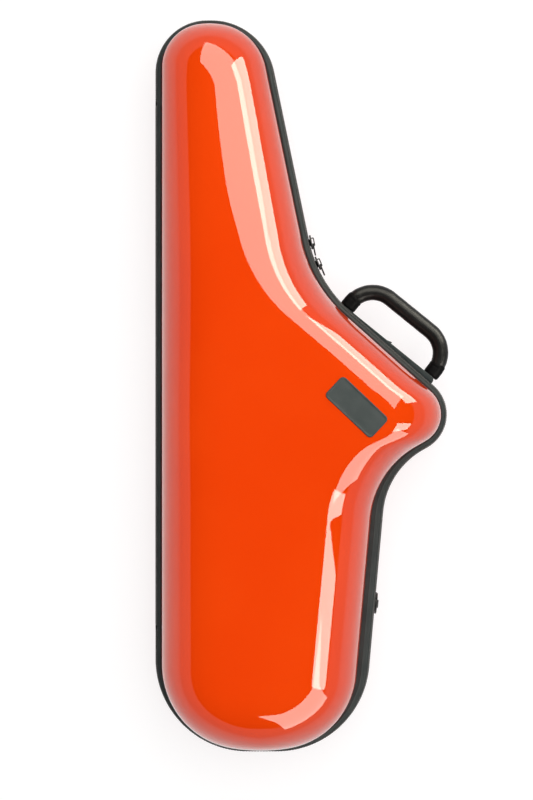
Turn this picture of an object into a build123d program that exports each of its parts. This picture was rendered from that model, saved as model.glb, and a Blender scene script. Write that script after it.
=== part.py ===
from build123d import *
import math
import os

os.makedirs("parts", exist_ok=True)

# Tenor saxophone case lying on its back shell. X runs from the spine to the bell,
# Y from the bow end to the neck end, Z up through the lid. Sizes in millimetres.

# Shell outline in the parting plane
shell_length = 821.0
shell_width = 318.0
neck_spine_radius = 52.0
neck_zip_radius = 65.0
handle_bay_radius = 157.0
bell_tip_radius = 35.0
waist_radius = 102.0
bow_zip_radius = 95.0
bow_spine_radius = 98.0
# Corners of the outline before rounding, as shares of the shell's width and length
corner_place_shares = [
    (0.0, 1.0), (0.338, 1.0), (0.531, 0.639), (1.070, 0.453), (0.7585, 0.385), (0.669, 0.0), (0.0, 0.0),
]
corner_radii = [
    neck_spine_radius, neck_zip_radius, handle_bay_radius, bell_tip_radius,
    waist_radius, bow_zip_radius, bow_spine_radius,
]
# Most of a side that the arcs at its two ends may take up
side_fill_share = 0.99
# Sides of the outline, each running from its corner to the next one
neck_end, neck_side, handle_side, bell_side, waist_side, bow_end, spine_side = range(7)
side_count = 7

# Depths, from the parting plane
lid_depth = 102.0
lid_neck_drop = 20.0
lid_bow_share = 0.10
base_depth = 92.0
base_neck_drop = 8.0
base_bow_share = 0.0
neck_drop_start_share = 0.56
neck_drop_end_share = 0.82
crown_side_run = 78.0
crown_end_run = 82.0
# Power of the curve that a flank rises by: 2 is an ellipse, and a higher one is squarer
flank_power_share = 2.5
wall = 3.0
lid_crown = (lid_depth, lid_neck_drop, lid_bow_share)
base_crown = (base_depth, base_neck_drop, base_bow_share)

# Edge rims, zip and spine tape
rim_height = 12.0
rim_gap = 0.8
rim_inside = 8.0
rim_chamfer = 2.4
flange_neck_end = 4.0
flange_neck_side = 7.0
flange_handle_side = 6.7
flange_bell_side = 7.0
flange_waist_side = 13.0
flange_bow_end = 4.0
flange_spine_side = 6.4
tape_thickness = 1.2
tape_height = 10.5
chain_height = 2.4
chain_proud = 1.8
chain_gap = 0.3
zip_end_setback = 34.0
stop_length = 5.0
stop_height = 4.0
stop_chamfer = 0.6
seal_width = 1.6
seal_rise = 4.0
seal_depth = 7.0

# Padding and lining
soft_gap = 0.3
foam_edge_gap = 5.4
pad_gap = 1.0
foam_skin_gap = 0.5
foam_side = 9.8
foam_top = 11.8
lining_gap = 2.0
lining_thickness = 1.6

# Zip sliders and their pulls
slider_length = 16.0
slider_width = 11.0
slider_plate = 1.8
slider_gap = 0.7
slider_wing = 2.2
slider_nose_share = 0.62
upper_slider_past_bend = 3.0
lower_slider_turn = 11.0
bail_length = 10.0
bail_height = 3.2
bail_width = 3.0
bail_bar = 1.3
pull_pin_radius = 0.8
pull_length = 13.2
pull_width = 7.0
pull_thickness = 1.5
pull_gap = 0.3
pull_eye = 5.5

# Carrying handle
handle_span = 123.0
handle_reach = 40.0
handle_bend_radius = 32.0
handle_skew = 2.7
handle_standoff = 12.2
handle_place_share = 0.475
grip_diameter = 18.0
core_diameter = 9.0
ferrule_diameter = 19.0
ferrule_turn = 14.0
slider_pass_gap = 2.0
strip_half_length = 68.0
strip_height = 20.0
strip_end_radius = 5.0
strip_inner_reach = 26.0
strip_shell_gap = 0.8
clip_length = 7.0
clip_height = 2.2
clip_width = 12.0
bolt_radius = 3.0
bolt_head_radius = 4.2
bolt_head_height = 3.0
bolt_engagement = 6.0
hole_gap = 0.15
backing_length = 22.0
backing_height = 13.0
backing_thickness = 4.5

# Name plate, left bare
plate_length = 69.0
plate_width = 30.0
plate_corner_radius = 5.0
plate_thickness = 1.8
plate_tilt = -43.4
plate_x_share = 0.679
plate_y_share = 0.471

# Strap tab and ring
tab_place_share = 0.60
tab_length = 15.0
tab_thickness = 1.5
tab_inner_reach = 8.0
tab_eye_radius = 2.4
tab_eye_length = 9.0
ring_wire_radius = 1.1
ring_gap = 0.3
ring_length = 22.0
ring_drop = 15.0
ring_bend_radius = 5.0
rivet_radius = 1.6
rivet_head_radius = 2.8
rivet_head_height = 1.0
rivet_spacing = 8.0

# Support pads on the floor of the base
pad_crown_height = 16.0
body_pad_width = 96.0
body_pad_length = 46.0
body_channel_radius = 52.0
body_pad_height = 30.0
neck_pad_width = 60.0
neck_pad_length = 44.0
neck_channel_radius = 20.0
neck_pad_height = 38.0
bell_pad_length = 70.0
bell_pad_width = 60.0
bow_pad_length = 96.0
bow_pad_width = 50.0
pad_profile_shares = [(0.0, 0.93), (0.3, 1.0), (0.7, 0.97), (0.92, 0.86), (1.0, 0.70)]
pad_round_share = 0.22
channel_lift_share = 0.55
# Middles of the pads, as shares of the shell's width and length
lower_cradle_shares = (0.26, 0.27)
upper_cradle_shares = (0.26, 0.56)
neck_pad_shares = (0.185, 0.84)
bell_pad_shares = (0.68, 0.44)
bow_pad_shares = (0.35, 0.125)

# Resolution of the crowned shapes
ring_step = 4.0
crown_columns = 12
crown_rows = 36
row_end_share = 0.35
cut_overrun = 6.0

flanges = [
    flange_neck_end, flange_neck_side, flange_handle_side, flange_bell_side,
    flange_waist_side, flange_bow_end, flange_spine_side,
]
half_gap = rim_gap / 2


def direction(start, end):
    """Unit vector from one plan point to another."""
    run = math.dist(start, end)
    return ((end[0] - start[0]) / run, (end[1] - start[1]) / run)


def plan_corners():
    """Corners of the shell outline before rounding."""
    return [(x * shell_width, y * shell_length) for x, y in corner_place_shares]


def rounded_outline(margins):
    """Outline whose sides stand off the shell's by their margins: one arc for each corner.

    Each arc is (start, end, centre, radius, turn); lines join one arc to the next.
    """
    points = plan_corners()
    ways = [direction(points[i], points[(i + 1) % side_count]) for i in range(side_count)]
    corners = []
    for i in range(side_count):
        before, after = ways[i - 1], ways[i]
        side_a = (points[i][0] - before[1] * margins[i - 1], points[i][1] + before[0] * margins[i - 1])
        side_b = (points[i][0] - after[1] * margins[i], points[i][1] + after[0] * margins[i])
        cross = before[0] * after[1] - before[1] * after[0]
        along = ((side_b[0] - side_a[0]) * after[1] - (side_b[1] - side_a[1]) * after[0]) / cross
        corner = (side_a[0] + before[0] * along, side_a[1] + before[1] * along)
        bend = math.copysign(1, cross)
        radius = corner_radii[i] - bend * (margins[i - 1] + margins[i]) / 2
        turn = math.acos(before[0] * after[0] + before[1] * after[1])
        corners.append([corner, radius, turn, bend, before, after])
    fits = [1.0] * side_count
    for i in range(side_count):
        here, following = corners[i], corners[(i + 1) % side_count]
        need = here[1] * math.tan(here[2] / 2) + following[1] * math.tan(following[2] / 2)
        fit = min(1.0, side_fill_share * math.dist(here[0], following[0]) / need)
        fits[i] = min(fits[i], fit)
        fits[(i + 1) % side_count] = min(fits[(i + 1) % side_count], fit)
    arcs = []
    for fit, (corner, radius, turn, bend, before, after) in zip(fits, corners):
        radius = radius * fit
        reach = radius * math.tan(turn / 2)
        start = (corner[0] - before[0] * reach, corner[1] - before[1] * reach)
        end = (corner[0] + after[0] * reach, corner[1] + after[1] * reach)
        centre = (start[0] - before[1] * radius * bend, start[1] + before[0] * radius * bend)
        arcs.append((start, end, centre, radius, turn * bend))
    return arcs


def margins_from(offset, widths=None):
    """One margin for each side: its flange, where one is given, plus an offset."""
    return [offset + (widths[i] if widths else 0) for i in range(side_count)]


def outline_face(margins, level=0.0):
    """Flat face inside the rounded outline, at a height."""
    arcs = rounded_outline(margins)
    edges = []
    for i, (start, end, centre, radius, turn) in enumerate(arcs):
        first = math.atan2(start[1] - centre[1], start[0] - centre[0])
        half_way = first + turn / 2
        middle = (centre[0] + radius * math.cos(half_way), centre[1] + radius * math.sin(half_way))
        edges.append(ThreePointArc((*start, level), (*middle, level), (*end, level)))
        edges.append(Line((*end, level), (*arcs[(i + 1) % side_count][0], level)))
    return make_face(edges)


def outline_ring(outer, inner, bottom, top):
    """Upright band between two outlines."""
    face = outline_face(outer, bottom) - outline_face(inner, bottom)
    return extrude(face, amount=top - bottom, dir=(0, 0, 1))


def outline_points(margins):
    """Points along the rounded outline, about one ring step apart."""
    arcs = rounded_outline(margins)
    points = []
    for i, (start, end, centre, radius, turn) in enumerate(arcs):
        first = math.atan2(start[1] - centre[1], start[0] - centre[0])
        steps = max(2, round(abs(turn) * radius / ring_step))
        for j in range(steps):
            angle = first + turn * j / steps
            points.append((centre[0] + radius * math.cos(angle), centre[1] + radius * math.sin(angle)))
        following = arcs[(i + 1) % side_count][0]
        steps = max(1, round(math.dist(end, following) / ring_step))
        for j in range(steps):
            share = j / steps
            x = end[0] + (following[0] - end[0]) * share
            y = end[1] + (following[1] - end[1]) * share
            points.append((x, y))
    return points


def crossings(points, y):
    """Lowest and highest X where the closed outline crosses a line of constant Y."""
    found = []
    for here, following in zip(points, points[1:] + points[:1]):
        if (here[1] - y) * (following[1] - y) <= 0 and here[1] != following[1]:
            share = (y - here[1]) / (following[1] - here[1])
            found.append(here[0] + share * (following[0] - here[0]))
    return min(found), max(found)


def neck_fall(y):
    """Smooth share of the crown's fall towards the neck end: 0 over the body, 1 at the neck."""
    way = (y / shell_length - neck_drop_start_share) / (neck_drop_end_share - neck_drop_start_share)
    way = min(1.0, max(0.0, way))
    return way * way * (3 - 2 * way)


def flank(distance, run):
    """Rise from 0 at an edge, where it is upright, to 1 at its run, where it is level."""
    short = min(1.0, max(0.0, 1 - distance / run))
    return (1 - short ** flank_power_share) ** (1 / flank_power_share)


def crowned_body(crown, inset, sink, foot):
    """Solid dome over the inset outline, from a foot height to its crown less a sink.

    It rises upright from the outline and rounds over to a crown that may be bowed. A deeper
    inset rounds over in a shorter run, so that walls keep an even thickness.
    """
    depth, neck_drop, bow_share = crown
    end_run, side_run = crown_end_run - inset, crown_side_run - inset
    points = outline_points(margins_from(-inset))
    low = min(point[1] for point in points)
    high = max(point[1] for point in points)
    rows = []
    for row in range(crown_rows):
        angle = math.pi * (row + row_end_share) / (crown_rows - 1 + 2 * row_end_share)
        y = (low + high) / 2 - (high - low) / 2 * math.cos(angle)
        left, right = crossings(points, y)
        top = depth - sink - neck_drop * neck_fall(y)
        ends = flank(y - low, end_run) * flank(high - y, end_run)
        arch = []
        for column in range(crown_columns + 1):
            share = (1 - math.cos(math.pi * column / crown_columns)) / 2
            x = left + (right - left) * share
            sides = flank(x - left, side_run) * flank(right - x, side_run)
            bow = 1 - bow_share * (2 * share - 1) ** 2
            arch.append((x, y, foot + (top - foot) * ends * sides * bow))
        rows.append(Wire([Spline(*arch), Line(arch[-1], arch[0])]))
    return Solid.make_loft(rows)


def below_parting(solid):
    """Turn a dome over, so that it hangs under the parting plane."""
    return mirror(solid, about=Plane.XY)


# Outline of the zip band, and where it meets the hinge side
band_arcs = rounded_outline(margins_from(0, flanges))
spine_x = -flange_spine_side

# Lid and base shells
def lid_body(inset, sink, foot):
    """Dome over the parting plane, as the lid and its layers are shaped."""
    return crowned_body(lid_crown, inset, sink, foot)


def base_body(inset, sink, foot):
    """Dome hanging under the parting plane, as the base and its layers are shaped."""
    return below_parting(crowned_body(base_crown, inset, sink, foot))


inner_foot = rim_height - cut_overrun
lid_shell = lid_body(0, 0, rim_height) - lid_body(wall, wall, inner_foot)
base_shell = base_body(0, 0, rim_height) - base_body(wall, wall, inner_foot)

# Rims that the shells' edges stand on
rim_outer = margins_from(-tape_thickness, flanges)
rim_inner = margins_from(-rim_inside)
lid_rim = outline_ring(rim_outer, rim_inner, half_gap, rim_height)
rim_level = lid_rim.faces().sort_by(Axis.Z)[-1]
outer_loop = rim_level.outer_wire().edges()
lid_rim = chamfer(lid_rim.edges().filter_by(lambda edge: edge in outer_loop), rim_chamfer)
base_rim = mirror(lid_rim, about=Plane.XY)

# Rubber lip on the base rim's inner face, which the lid closes over
seal_outer = margins_from(-rim_inside)
seal_inner = margins_from(-rim_inside - seal_width)
rim_seal = outline_ring(seal_outer, seal_inner, -seal_depth, -half_gap)
seal_lip_outer = margins_from(-rim_inside - soft_gap)
rim_seal = rim_seal + outline_ring(seal_lip_outer, seal_inner, -half_gap, seal_rise)

# Zip: tape and chain round all but the spine, and plain tape along the spine
zip_low_y = band_arcs[spine_side][1][1] + zip_end_setback
zip_high_y = band_arcs[neck_end][0][1] - zip_end_setback
spine_window_width = flange_spine_side + tape_thickness
spine_window = Pos(spine_x, (zip_low_y + zip_high_y) / 2, 0) * Box(
    2 * spine_window_width, zip_high_y - zip_low_y, 2 * lid_depth
)
band_outer = margins_from(0, flanges)
tape_ring = outline_ring(band_outer, rim_outer, chain_height, tape_height)
lid_zip_tape = tape_ring - spine_window
base_zip_tape = mirror(lid_zip_tape, about=Plane.XY)
chain_outer = margins_from(chain_proud, flanges)
chain_ring = outline_ring(chain_outer, rim_outer, chain_gap / 2, chain_height)
lid_zip_teeth = chain_ring - spine_window
base_zip_teeth = mirror(lid_zip_teeth, about=Plane.XY)

hinge_x = spine_x - chain_proud
hinge_thickness = tape_thickness + chain_proud
hinge_length = zip_high_y - zip_low_y - 2 * (stop_length + soft_gap)
hinge_middle = (zip_low_y + zip_high_y) / 2
lid_hinge_tape = Pos(hinge_x + hinge_thickness / 2, hinge_middle, tape_height / 2) * Box(
    hinge_thickness, hinge_length, tape_height
)
base_hinge_tape = mirror(lid_hinge_tape, about=Plane.XY)

zip_end_stops = []
for end_y, inward in ((zip_low_y, 1), (zip_high_y, -1)):
    stop_y = end_y + inward * stop_length / 2
    stop = Pos(hinge_x + hinge_thickness / 2, stop_y, -stop_height / 2 - chain_gap / 2) * Box(
        hinge_thickness, stop_length, stop_height
    )
    zip_end_stops.append(chamfer(stop.edges().group_by(Axis.X)[0], stop_chamfer))

# Foam and lining: each layer is a dome inside the last, with the next one taken out
foam_outer_inset = rim_inside + seal_width + foam_edge_gap
foam_inner_inset = foam_outer_inset + foam_side
lining_outer_inset = foam_inner_inset + lining_gap
lining_inner_inset = lining_outer_inset + lining_thickness
foam_foot = half_gap + soft_gap
foam_outer_sink = wall + foam_skin_gap
foam_inner_sink = foam_outer_sink + foam_top
lining_outer_sink = foam_inner_sink + lining_gap
lining_inner_sink = lining_outer_sink + lining_thickness
lid_foam = lid_body(foam_outer_inset, foam_outer_sink, foam_foot)
lid_foam -= lid_body(foam_inner_inset, foam_inner_sink, -cut_overrun)
lid_lining = lid_body(lining_outer_inset, lining_outer_sink, half_gap)
lid_lining -= lid_body(lining_inner_inset, lining_inner_sink, -cut_overrun)
base_foam = base_body(foam_outer_inset, foam_outer_sink, foam_foot)
base_foam -= base_body(foam_inner_inset, foam_inner_sink, -cut_overrun)
base_lining = base_body(lining_outer_inset, lining_outer_sink, half_gap)
base_lining -= base_body(lining_inner_inset, lining_inner_sink, -cut_overrun)
bed_depth = base_depth - lining_inner_sink
pad_room = base_body(lining_inner_inset + pad_gap, lining_inner_sink + soft_gap, -cut_overrun)


def pad(width, length, height, place_shares):
    """Padded block on the base's floor: sides drawn in at foot and top, fitted to the bed's flanks."""
    middle = (place_shares[0] * shell_width, place_shares[1] * shell_length)
    rows = []
    for rise_share, size_share in pad_profile_shares:
        level = -bed_depth + height * rise_share
        outline = RectangleRounded(width * size_share, length * size_share, min(width, length) * pad_round_share)
        rows.append(Pos(*middle, level) * outline)
    return loft(rows) & pad_room


def cradle(width, length, height, radius, place_shares):
    """Pad with a round channel along Y for the tube that it carries."""
    axis_level = -bed_depth + height * channel_lift_share + radius
    channel = Cylinder(radius, 2 * length, rotation=(90, 0, 0))
    place = Pos(place_shares[0] * shell_width, place_shares[1] * shell_length, axis_level)
    return pad(width, length, height, place_shares) - place * channel


body_pad_sizes = (body_pad_width, body_pad_length, body_pad_height, body_channel_radius)
body_cradle_lower = cradle(*body_pad_sizes, lower_cradle_shares)
body_cradle_upper = cradle(*body_pad_sizes, upper_cradle_shares)
neck_pad = cradle(neck_pad_width, neck_pad_length, neck_pad_height, neck_channel_radius, neck_pad_shares)
bell_pad = pad(bell_pad_width, bell_pad_length, pad_crown_height, bell_pad_shares)
bow_pad = pad(bow_pad_length, bow_pad_width, pad_crown_height, bow_pad_shares)

# Handle frame: X along the grip, Y away from the case
handle_way_start, handle_way_end = plan_corners()[handle_side], plan_corners()[bell_side]
handle_way = direction(handle_way_start, handle_way_end)
handle_run = math.dist(handle_way_start, handle_way_end) * handle_place_share
handle_middle = (
    handle_way_start[0] + handle_way[0] * handle_run - handle_way[1] * handle_standoff,
    handle_way_start[1] + handle_way[1] * handle_run + handle_way[0] * handle_standoff,
)
handle_angle = math.degrees(math.atan2(handle_way[1], handle_way[0])) + handle_skew
handle_frame = Pos(*handle_middle, 0) * Rot(0, 0, handle_angle)
grip_level = -(slider_width / 2 + slider_pass_gap + grip_diameter / 2)
strip_top = grip_level + strip_height / 2
strip_bottom = grip_level - strip_height / 2
half_span = handle_span / 2


def leg_path(mirror_sign, end_turn):
    """Path up one leg of the handle, from the strip through part of its bend."""
    bend_start = handle_reach - handle_bend_radius
    foot = (mirror_sign * half_span, 0, grip_level)
    shoulder = (mirror_sign * half_span, bend_start, grip_level)
    centre = (mirror_sign * (half_span - handle_bend_radius), bend_start)

    def on_bend(turn):
        angle = math.radians(turn)
        x = centre[0] + mirror_sign * handle_bend_radius * math.cos(angle)
        return (x, centre[1] + handle_bend_radius * math.sin(angle), grip_level)

    return Wire([Line(foot, shoulder), ThreePointArc(shoulder, on_bend(end_turn / 2), on_bend(end_turn))])


def grip_path(start_turn):
    """Path of the grip, between the ferrules' ends."""
    bend_start = handle_reach - handle_bend_radius
    inner_x = half_span - handle_bend_radius

    def on_bend(sign, turn):
        angle = math.radians(turn)
        x = sign * (inner_x + handle_bend_radius * math.cos(angle))
        return (x, bend_start + handle_bend_radius * math.sin(angle), grip_level)

    half_turn = (start_turn + 90) / 2
    return Wire([
        ThreePointArc(on_bend(-1, start_turn), on_bend(-1, half_turn), on_bend(-1, 90)),
        Line(on_bend(-1, 90), on_bend(1, 90)),
        ThreePointArc(on_bend(1, 90), on_bend(1, half_turn), on_bend(1, start_turn)),
    ])


def swept_ring(path, outer_radius, inner_radius):
    """Tube or rod of round section along a path."""
    start = Plane(origin=path @ 0, z_dir=path % 0)
    section = Circle(outer_radius) - Circle(inner_radius) if inner_radius else Circle(outer_radius)
    return sweep(start * section, path=path)


ferrules = []
for sign in (-1, 1):
    ferrules.append(swept_ring(leg_path(sign, ferrule_turn), ferrule_diameter / 2, core_diameter / 2))
handle_ferrule_upper = handle_frame * ferrules[0]
handle_ferrule_lower = handle_frame * ferrules[1]
handle_grip = handle_frame * swept_ring(grip_path(ferrule_turn), grip_diameter / 2, core_diameter / 2)
core = swept_ring(grip_path(0), core_diameter / 2, 0)
leg_length = handle_reach - handle_bend_radius
for sign in (-1, 1):
    core += Pos(sign * half_span, leg_length / 2, grip_level) * Cylinder(
        core_diameter / 2, leg_length, rotation=(90, 0, 0)
    )

# Strip that carries the handle, between the band and the grip's feet
strip_block = Pos(0, -strip_inner_reach / 2, grip_level) * Box(
    2 * strip_half_length, strip_inner_reach, strip_height
)
strip_block = fillet(strip_block.edges().filter_by(Axis.Z).group_by(Axis.Y)[-1], strip_end_radius)
shell_skin = base_body(-strip_shell_gap, -strip_shell_gap, inner_foot)
band_clear = outline_face(margins_from(chain_proud + soft_gap, flanges), -rim_height - soft_gap)
band_clear = extrude(band_clear, amount=rim_height + lid_depth, dir=(0, 0, 1))
handle_strip = handle_frame * strip_block - band_clear - shell_skin

clip_profile = Polyline(
    (-clip_length / 2, 0), (clip_length / 2, clip_height), (clip_length / 2, 0), close=True
)
strip_clip = handle_frame * (Pos(0, 0, grip_level - clip_width / 2) * extrude(make_face(clip_profile), clip_width))

# Bolts from inside the base, through backing plates, wall and strip into the core
wall_run = math.tan(math.radians(handle_skew))
backing_plates = []
handle_bolts = []
bolt_holes = []
foam_pockets = []
inner_skin = base_body(wall + soft_gap, wall + soft_gap, inner_foot)
for sign in (-1, 1):
    wall_y = -handle_standoff - sign * half_span * wall_run
    inner_face_y = wall_y - wall - backing_thickness
    backing_level = min(-rim_height - soft_gap - backing_height / 2, grip_level)
    block = Pos(sign * half_span, inner_face_y + backing_thickness, backing_level) * Box(
        backing_length, 2 * backing_thickness, backing_height
    )
    plate = handle_frame * block & inner_skin
    shank_length = bolt_engagement - inner_face_y
    shank = Pos(sign * half_span, bolt_engagement - shank_length / 2, grip_level) * Cylinder(
        bolt_radius, shank_length, rotation=(90, 0, 0)
    )
    head = Pos(sign * half_span, inner_face_y - bolt_head_height / 2, grip_level) * Cylinder(
        bolt_head_radius, bolt_head_height, rotation=(90, 0, 0)
    )
    hole = Pos(sign * half_span, bolt_engagement - shank_length / 2, grip_level) * Cylinder(
        bolt_radius + hole_gap, shank_length + 2 * hole_gap, rotation=(90, 0, 0)
    )
    pocket = Pos(sign * half_span, inner_face_y, backing_level) * Box(
        backing_length + 2 * soft_gap, 2 * (backing_thickness + bolt_head_height), backing_height + 2 * soft_gap
    )
    bolt_holes.append(handle_frame * hole)
    foam_pockets.append(handle_frame * pocket)
    handle_bolts.append(handle_frame * (shank + head))
    backing_plates.append(plate - bolt_holes[-1])
handle_core = handle_frame * core
for hole, pocket in zip(bolt_holes, foam_pockets):
    handle_core = handle_core - hole
    handle_strip = handle_strip - hole
    base_shell = base_shell - hole
    base_foam = base_foam - pocket

# Name plate, curved to the lid
plate_place = (plate_x_share * shell_width, plate_y_share * shell_length)
plate_outline = Pos(*plate_place, rim_height) * Rot(0, 0, plate_tilt) * RectangleRounded(
    plate_length, plate_width, plate_corner_radius
)
plate_prism = extrude(plate_outline, amount=lid_depth, dir=(0, 0, 1))
plate_under = lid_body(-soft_gap, -soft_gap, inner_foot)
plate_over = lid_body(-soft_gap - plate_thickness, -soft_gap - plate_thickness, inner_foot)
name_plate = (plate_prism & plate_over) - plate_under

# Zip sliders, each with its pull
slider_floor = chain_proud + slider_gap
plate_top = slider_floor + slider_plate
pin_height = plate_top + (bail_height - bail_bar) / 2
pin_place = bail_length / 2 - bail_bar - pull_pin_radius - pull_gap


def zip_slider():
    """Slider on its own axes: a tapered plate over the chain, a wing round the base's half, a bail."""
    half_length, half_width = slider_length / 2, slider_width / 2
    nose = half_width * slider_nose_share
    outline = make_face(Polyline(
        (-half_length, -nose), (-half_length / 2, -half_width), (half_length, -half_width),
        (half_length, half_width), (-half_length / 2, half_width), (-half_length, nose), close=True,
    ))
    plate = extrude(Plane.XZ * outline, amount=-slider_plate)
    plate = Pos(0, slider_floor, 0) * plate
    wing_width = half_width - chain_height - slider_gap
    wing = Pos(0, slider_floor - slider_wing / 2, -half_width + wing_width / 2) * Box(
        slider_length / 2, slider_wing, wing_width
    )
    bail = Pos(0, plate_top + bail_height / 2, 0) * Box(bail_length, bail_height, bail_width)
    window = Pos(0, plate_top + (bail_height - bail_bar) / 2, 0) * Box(
        bail_length - 2 * bail_bar, bail_height - bail_bar, 2 * bail_width
    )
    return plate + wing + fillet(bail.edges().filter_by(Axis.Z).group_by(Axis.Y)[-1], bail_bar) - window


def zip_pull():
    """Pull on the slider's axes: a pin through the bail, two arms and a tab."""
    pin = Pos(pin_place, pin_height, 0) * Cylinder(pull_pin_radius, pull_width)
    arm_width = (pull_width - bail_width) / 2 - pull_gap
    arms = []
    for sign in (-1, 1):
        arm_z = sign * (pull_width - arm_width) / 2
        arms.append(Pos(pin_place + pull_eye / 2, pin_height, arm_z) * Box(
            pull_eye, pull_thickness, arm_width
        ))
        arms.append(Pos(pin_place, pin_height, arm_z) * Cylinder(pull_thickness / 2, arm_width))
    tab_length_here = pull_length - pull_eye
    tab = Pos(pin_place + pull_eye + tab_length_here / 2, pin_height, 0) * Box(
        tab_length_here, pull_thickness, pull_width
    )
    tab = fillet(tab.edges().filter_by(Axis.Y).group_by(Axis.X)[-1], pull_width / 4)
    return pin + arms + tab


def frame_location(place, way):
    """Place of a piece on the band: X along the way, Y outward."""
    angle = math.degrees(math.atan2(way[1], way[0]))
    return Pos(*place, 0) * Rot(0, 0, angle)


neck_way = direction(band_arcs[neck_side][1], band_arcs[handle_side][0])
bend_start = band_arcs[handle_side][0]
upper_place = (
    bend_start[0] + neck_way[0] * upper_slider_past_bend,
    bend_start[1] + neck_way[1] * upper_slider_past_bend,
)
upper_frame = frame_location(upper_place, neck_way)
bend_centre, bend_radius = band_arcs[handle_side][2], band_arcs[handle_side][3]
first_angle = math.degrees(math.atan2(bend_start[1] - bend_centre[1], bend_start[0] - bend_centre[0]))
lower_angle = math.radians(first_angle + lower_slider_turn)
lower_place = (
    bend_centre[0] + bend_radius * math.cos(lower_angle),
    bend_centre[1] + bend_radius * math.sin(lower_angle),
)
lower_way = (-math.sin(lower_angle), math.cos(lower_angle))
lower_frame = frame_location(lower_place, lower_way)
slider_upper = upper_frame * zip_slider()
slider_lower = lower_frame * zip_slider()
pull_upper = upper_frame * zip_pull()
pull_lower = lower_frame * zip_pull()

# Strap tab under the base rim, and the ring that hangs from it
tab_arc_start = band_arcs[waist_side][1]
tab_arc_end = band_arcs[bow_end][0]
waist_way = direction(tab_arc_start, tab_arc_end)
tab_run = math.dist(tab_arc_start, tab_arc_end) * tab_place_share
tab_place = (tab_arc_start[0] + waist_way[0] * tab_run, tab_arc_start[1] + waist_way[1] * tab_run)
tab_frame = frame_location(tab_place, waist_way)
tab_level = -rim_height - tab_thickness / 2
eye_y = chain_proud + tab_eye_radius
tab_plate = Pos(0, -tab_inner_reach / 2, tab_level) * Box(tab_length, tab_inner_reach, tab_thickness)
tab_plate += Pos(0, eye_y / 2, tab_level) * Box(tab_eye_length, eye_y, tab_thickness)
eye_level = -rim_height - tab_eye_radius
tab_eye = Pos(0, eye_y, eye_level) * Cylinder(tab_eye_radius, tab_eye_length, rotation=(0, 90, 0))
tab_bore = Pos(0, eye_y, eye_level) * Cylinder(
    ring_wire_radius + ring_gap / 2, 2 * tab_length, rotation=(0, 90, 0)
)
strap_tab = tab_plate + tab_eye - tab_bore
strap_rivets = []
for sign in (-1, 1):
    rivet_place = (sign * rivet_spacing / 2, -tab_inner_reach / 2)
    shank_height = rim_height / 2
    rivet_shank = Pos(*rivet_place, -rim_height - tab_thickness + (shank_height + tab_thickness) / 2) * Cylinder(
        rivet_radius, shank_height + tab_thickness
    )
    rivet_head = Pos(*rivet_place, -rim_height - tab_thickness - rivet_head_height / 2) * Cylinder(
        rivet_head_radius, rivet_head_height
    )
    rivet_hole = Pos(*rivet_place, -rim_height + shank_height / 2) * Cylinder(
        rivet_radius + hole_gap, shank_height + 2 * hole_gap
    )
    tab_hole = Pos(*rivet_place, tab_level) * Cylinder(rivet_radius + hole_gap, 2 * tab_thickness)
    strap_tab = strap_tab - tab_hole
    base_rim = base_rim - tab_frame * rivet_hole
    strap_rivets.append(tab_frame * (rivet_shank + rivet_head))
strap_tab = tab_frame * strap_tab
ring_half = ring_length / 2
ring_path = FilletPolyline(
    (ring_half, eye_y, eye_level), (-ring_half, eye_y, eye_level),
    (-ring_half, eye_y, eye_level - ring_drop), (ring_half, eye_y, eye_level - ring_drop),
    radius=ring_bend_radius, close=True,
)
strap_ring = tab_frame * swept_ring(ring_path, ring_wire_radius, 0)

nodes = {
    "lid_shell": [lid_shell],
    "lid_rim": [lid_rim],
    "lid_zip_tape": [lid_zip_tape],
    "lid_zip_teeth": [lid_zip_teeth],
    "lid_hinge_tape": [lid_hinge_tape],
    "lid_foam": [lid_foam],
    "lid_lining": [lid_lining],
    "name_plate": [name_plate],
    "base_shell": [base_shell],
    "base_rim": [base_rim],
    "base_zip_tape": [base_zip_tape],
    "base_zip_teeth": [base_zip_teeth],
    "base_hinge_tape": [base_hinge_tape],
    "base_foam": [base_foam],
    "base_lining": [base_lining],
    "rim_seal": [rim_seal],
    "zip_end_stops": zip_end_stops,
    "bell_pad": [bell_pad],
    "bow_pad": [bow_pad],
    "body_cradle_lower": [body_cradle_lower],
    "body_cradle_upper": [body_cradle_upper],
    "neck_pad": [neck_pad],
    "handle_strip": [handle_strip],
    "strip_clip": [strip_clip],
    "handle_ferrule_upper": [handle_ferrule_upper],
    "handle_ferrule_lower": [handle_ferrule_lower],
    "handle_core": [handle_core],
    "handle_grip": [handle_grip],
    "handle_bolts": handle_bolts,
    "handle_backing_plates": backing_plates,
    "slider_upper": [slider_upper],
    "slider_lower": [slider_lower],
    "pull_upper": [pull_upper],
    "pull_lower": [pull_lower],
    "strap_tab": [strap_tab],
    "strap_rivets": strap_rivets,
    "strap_ring": [strap_ring],
}

# Place the case with its back on the ground and its middle over the origin
whole = Compound(children=[solid for group in nodes.values() for piece in group for solid in piece.solids()])
bounds = whole.bounding_box()
middle = ((bounds.min.X + bounds.max.X) / 2, (bounds.min.Y + bounds.max.Y) / 2)
final_place = Pos(-middle[0], -middle[1], base_depth)

for name, group in nodes.items():
    solids = [solid for piece in group for solid in piece.solids()]
    placed = [final_place * solid for solid in solids]
    export_step(Compound(children=placed) if len(placed) > 1 else placed[0], f"parts/{name}.step")

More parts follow.
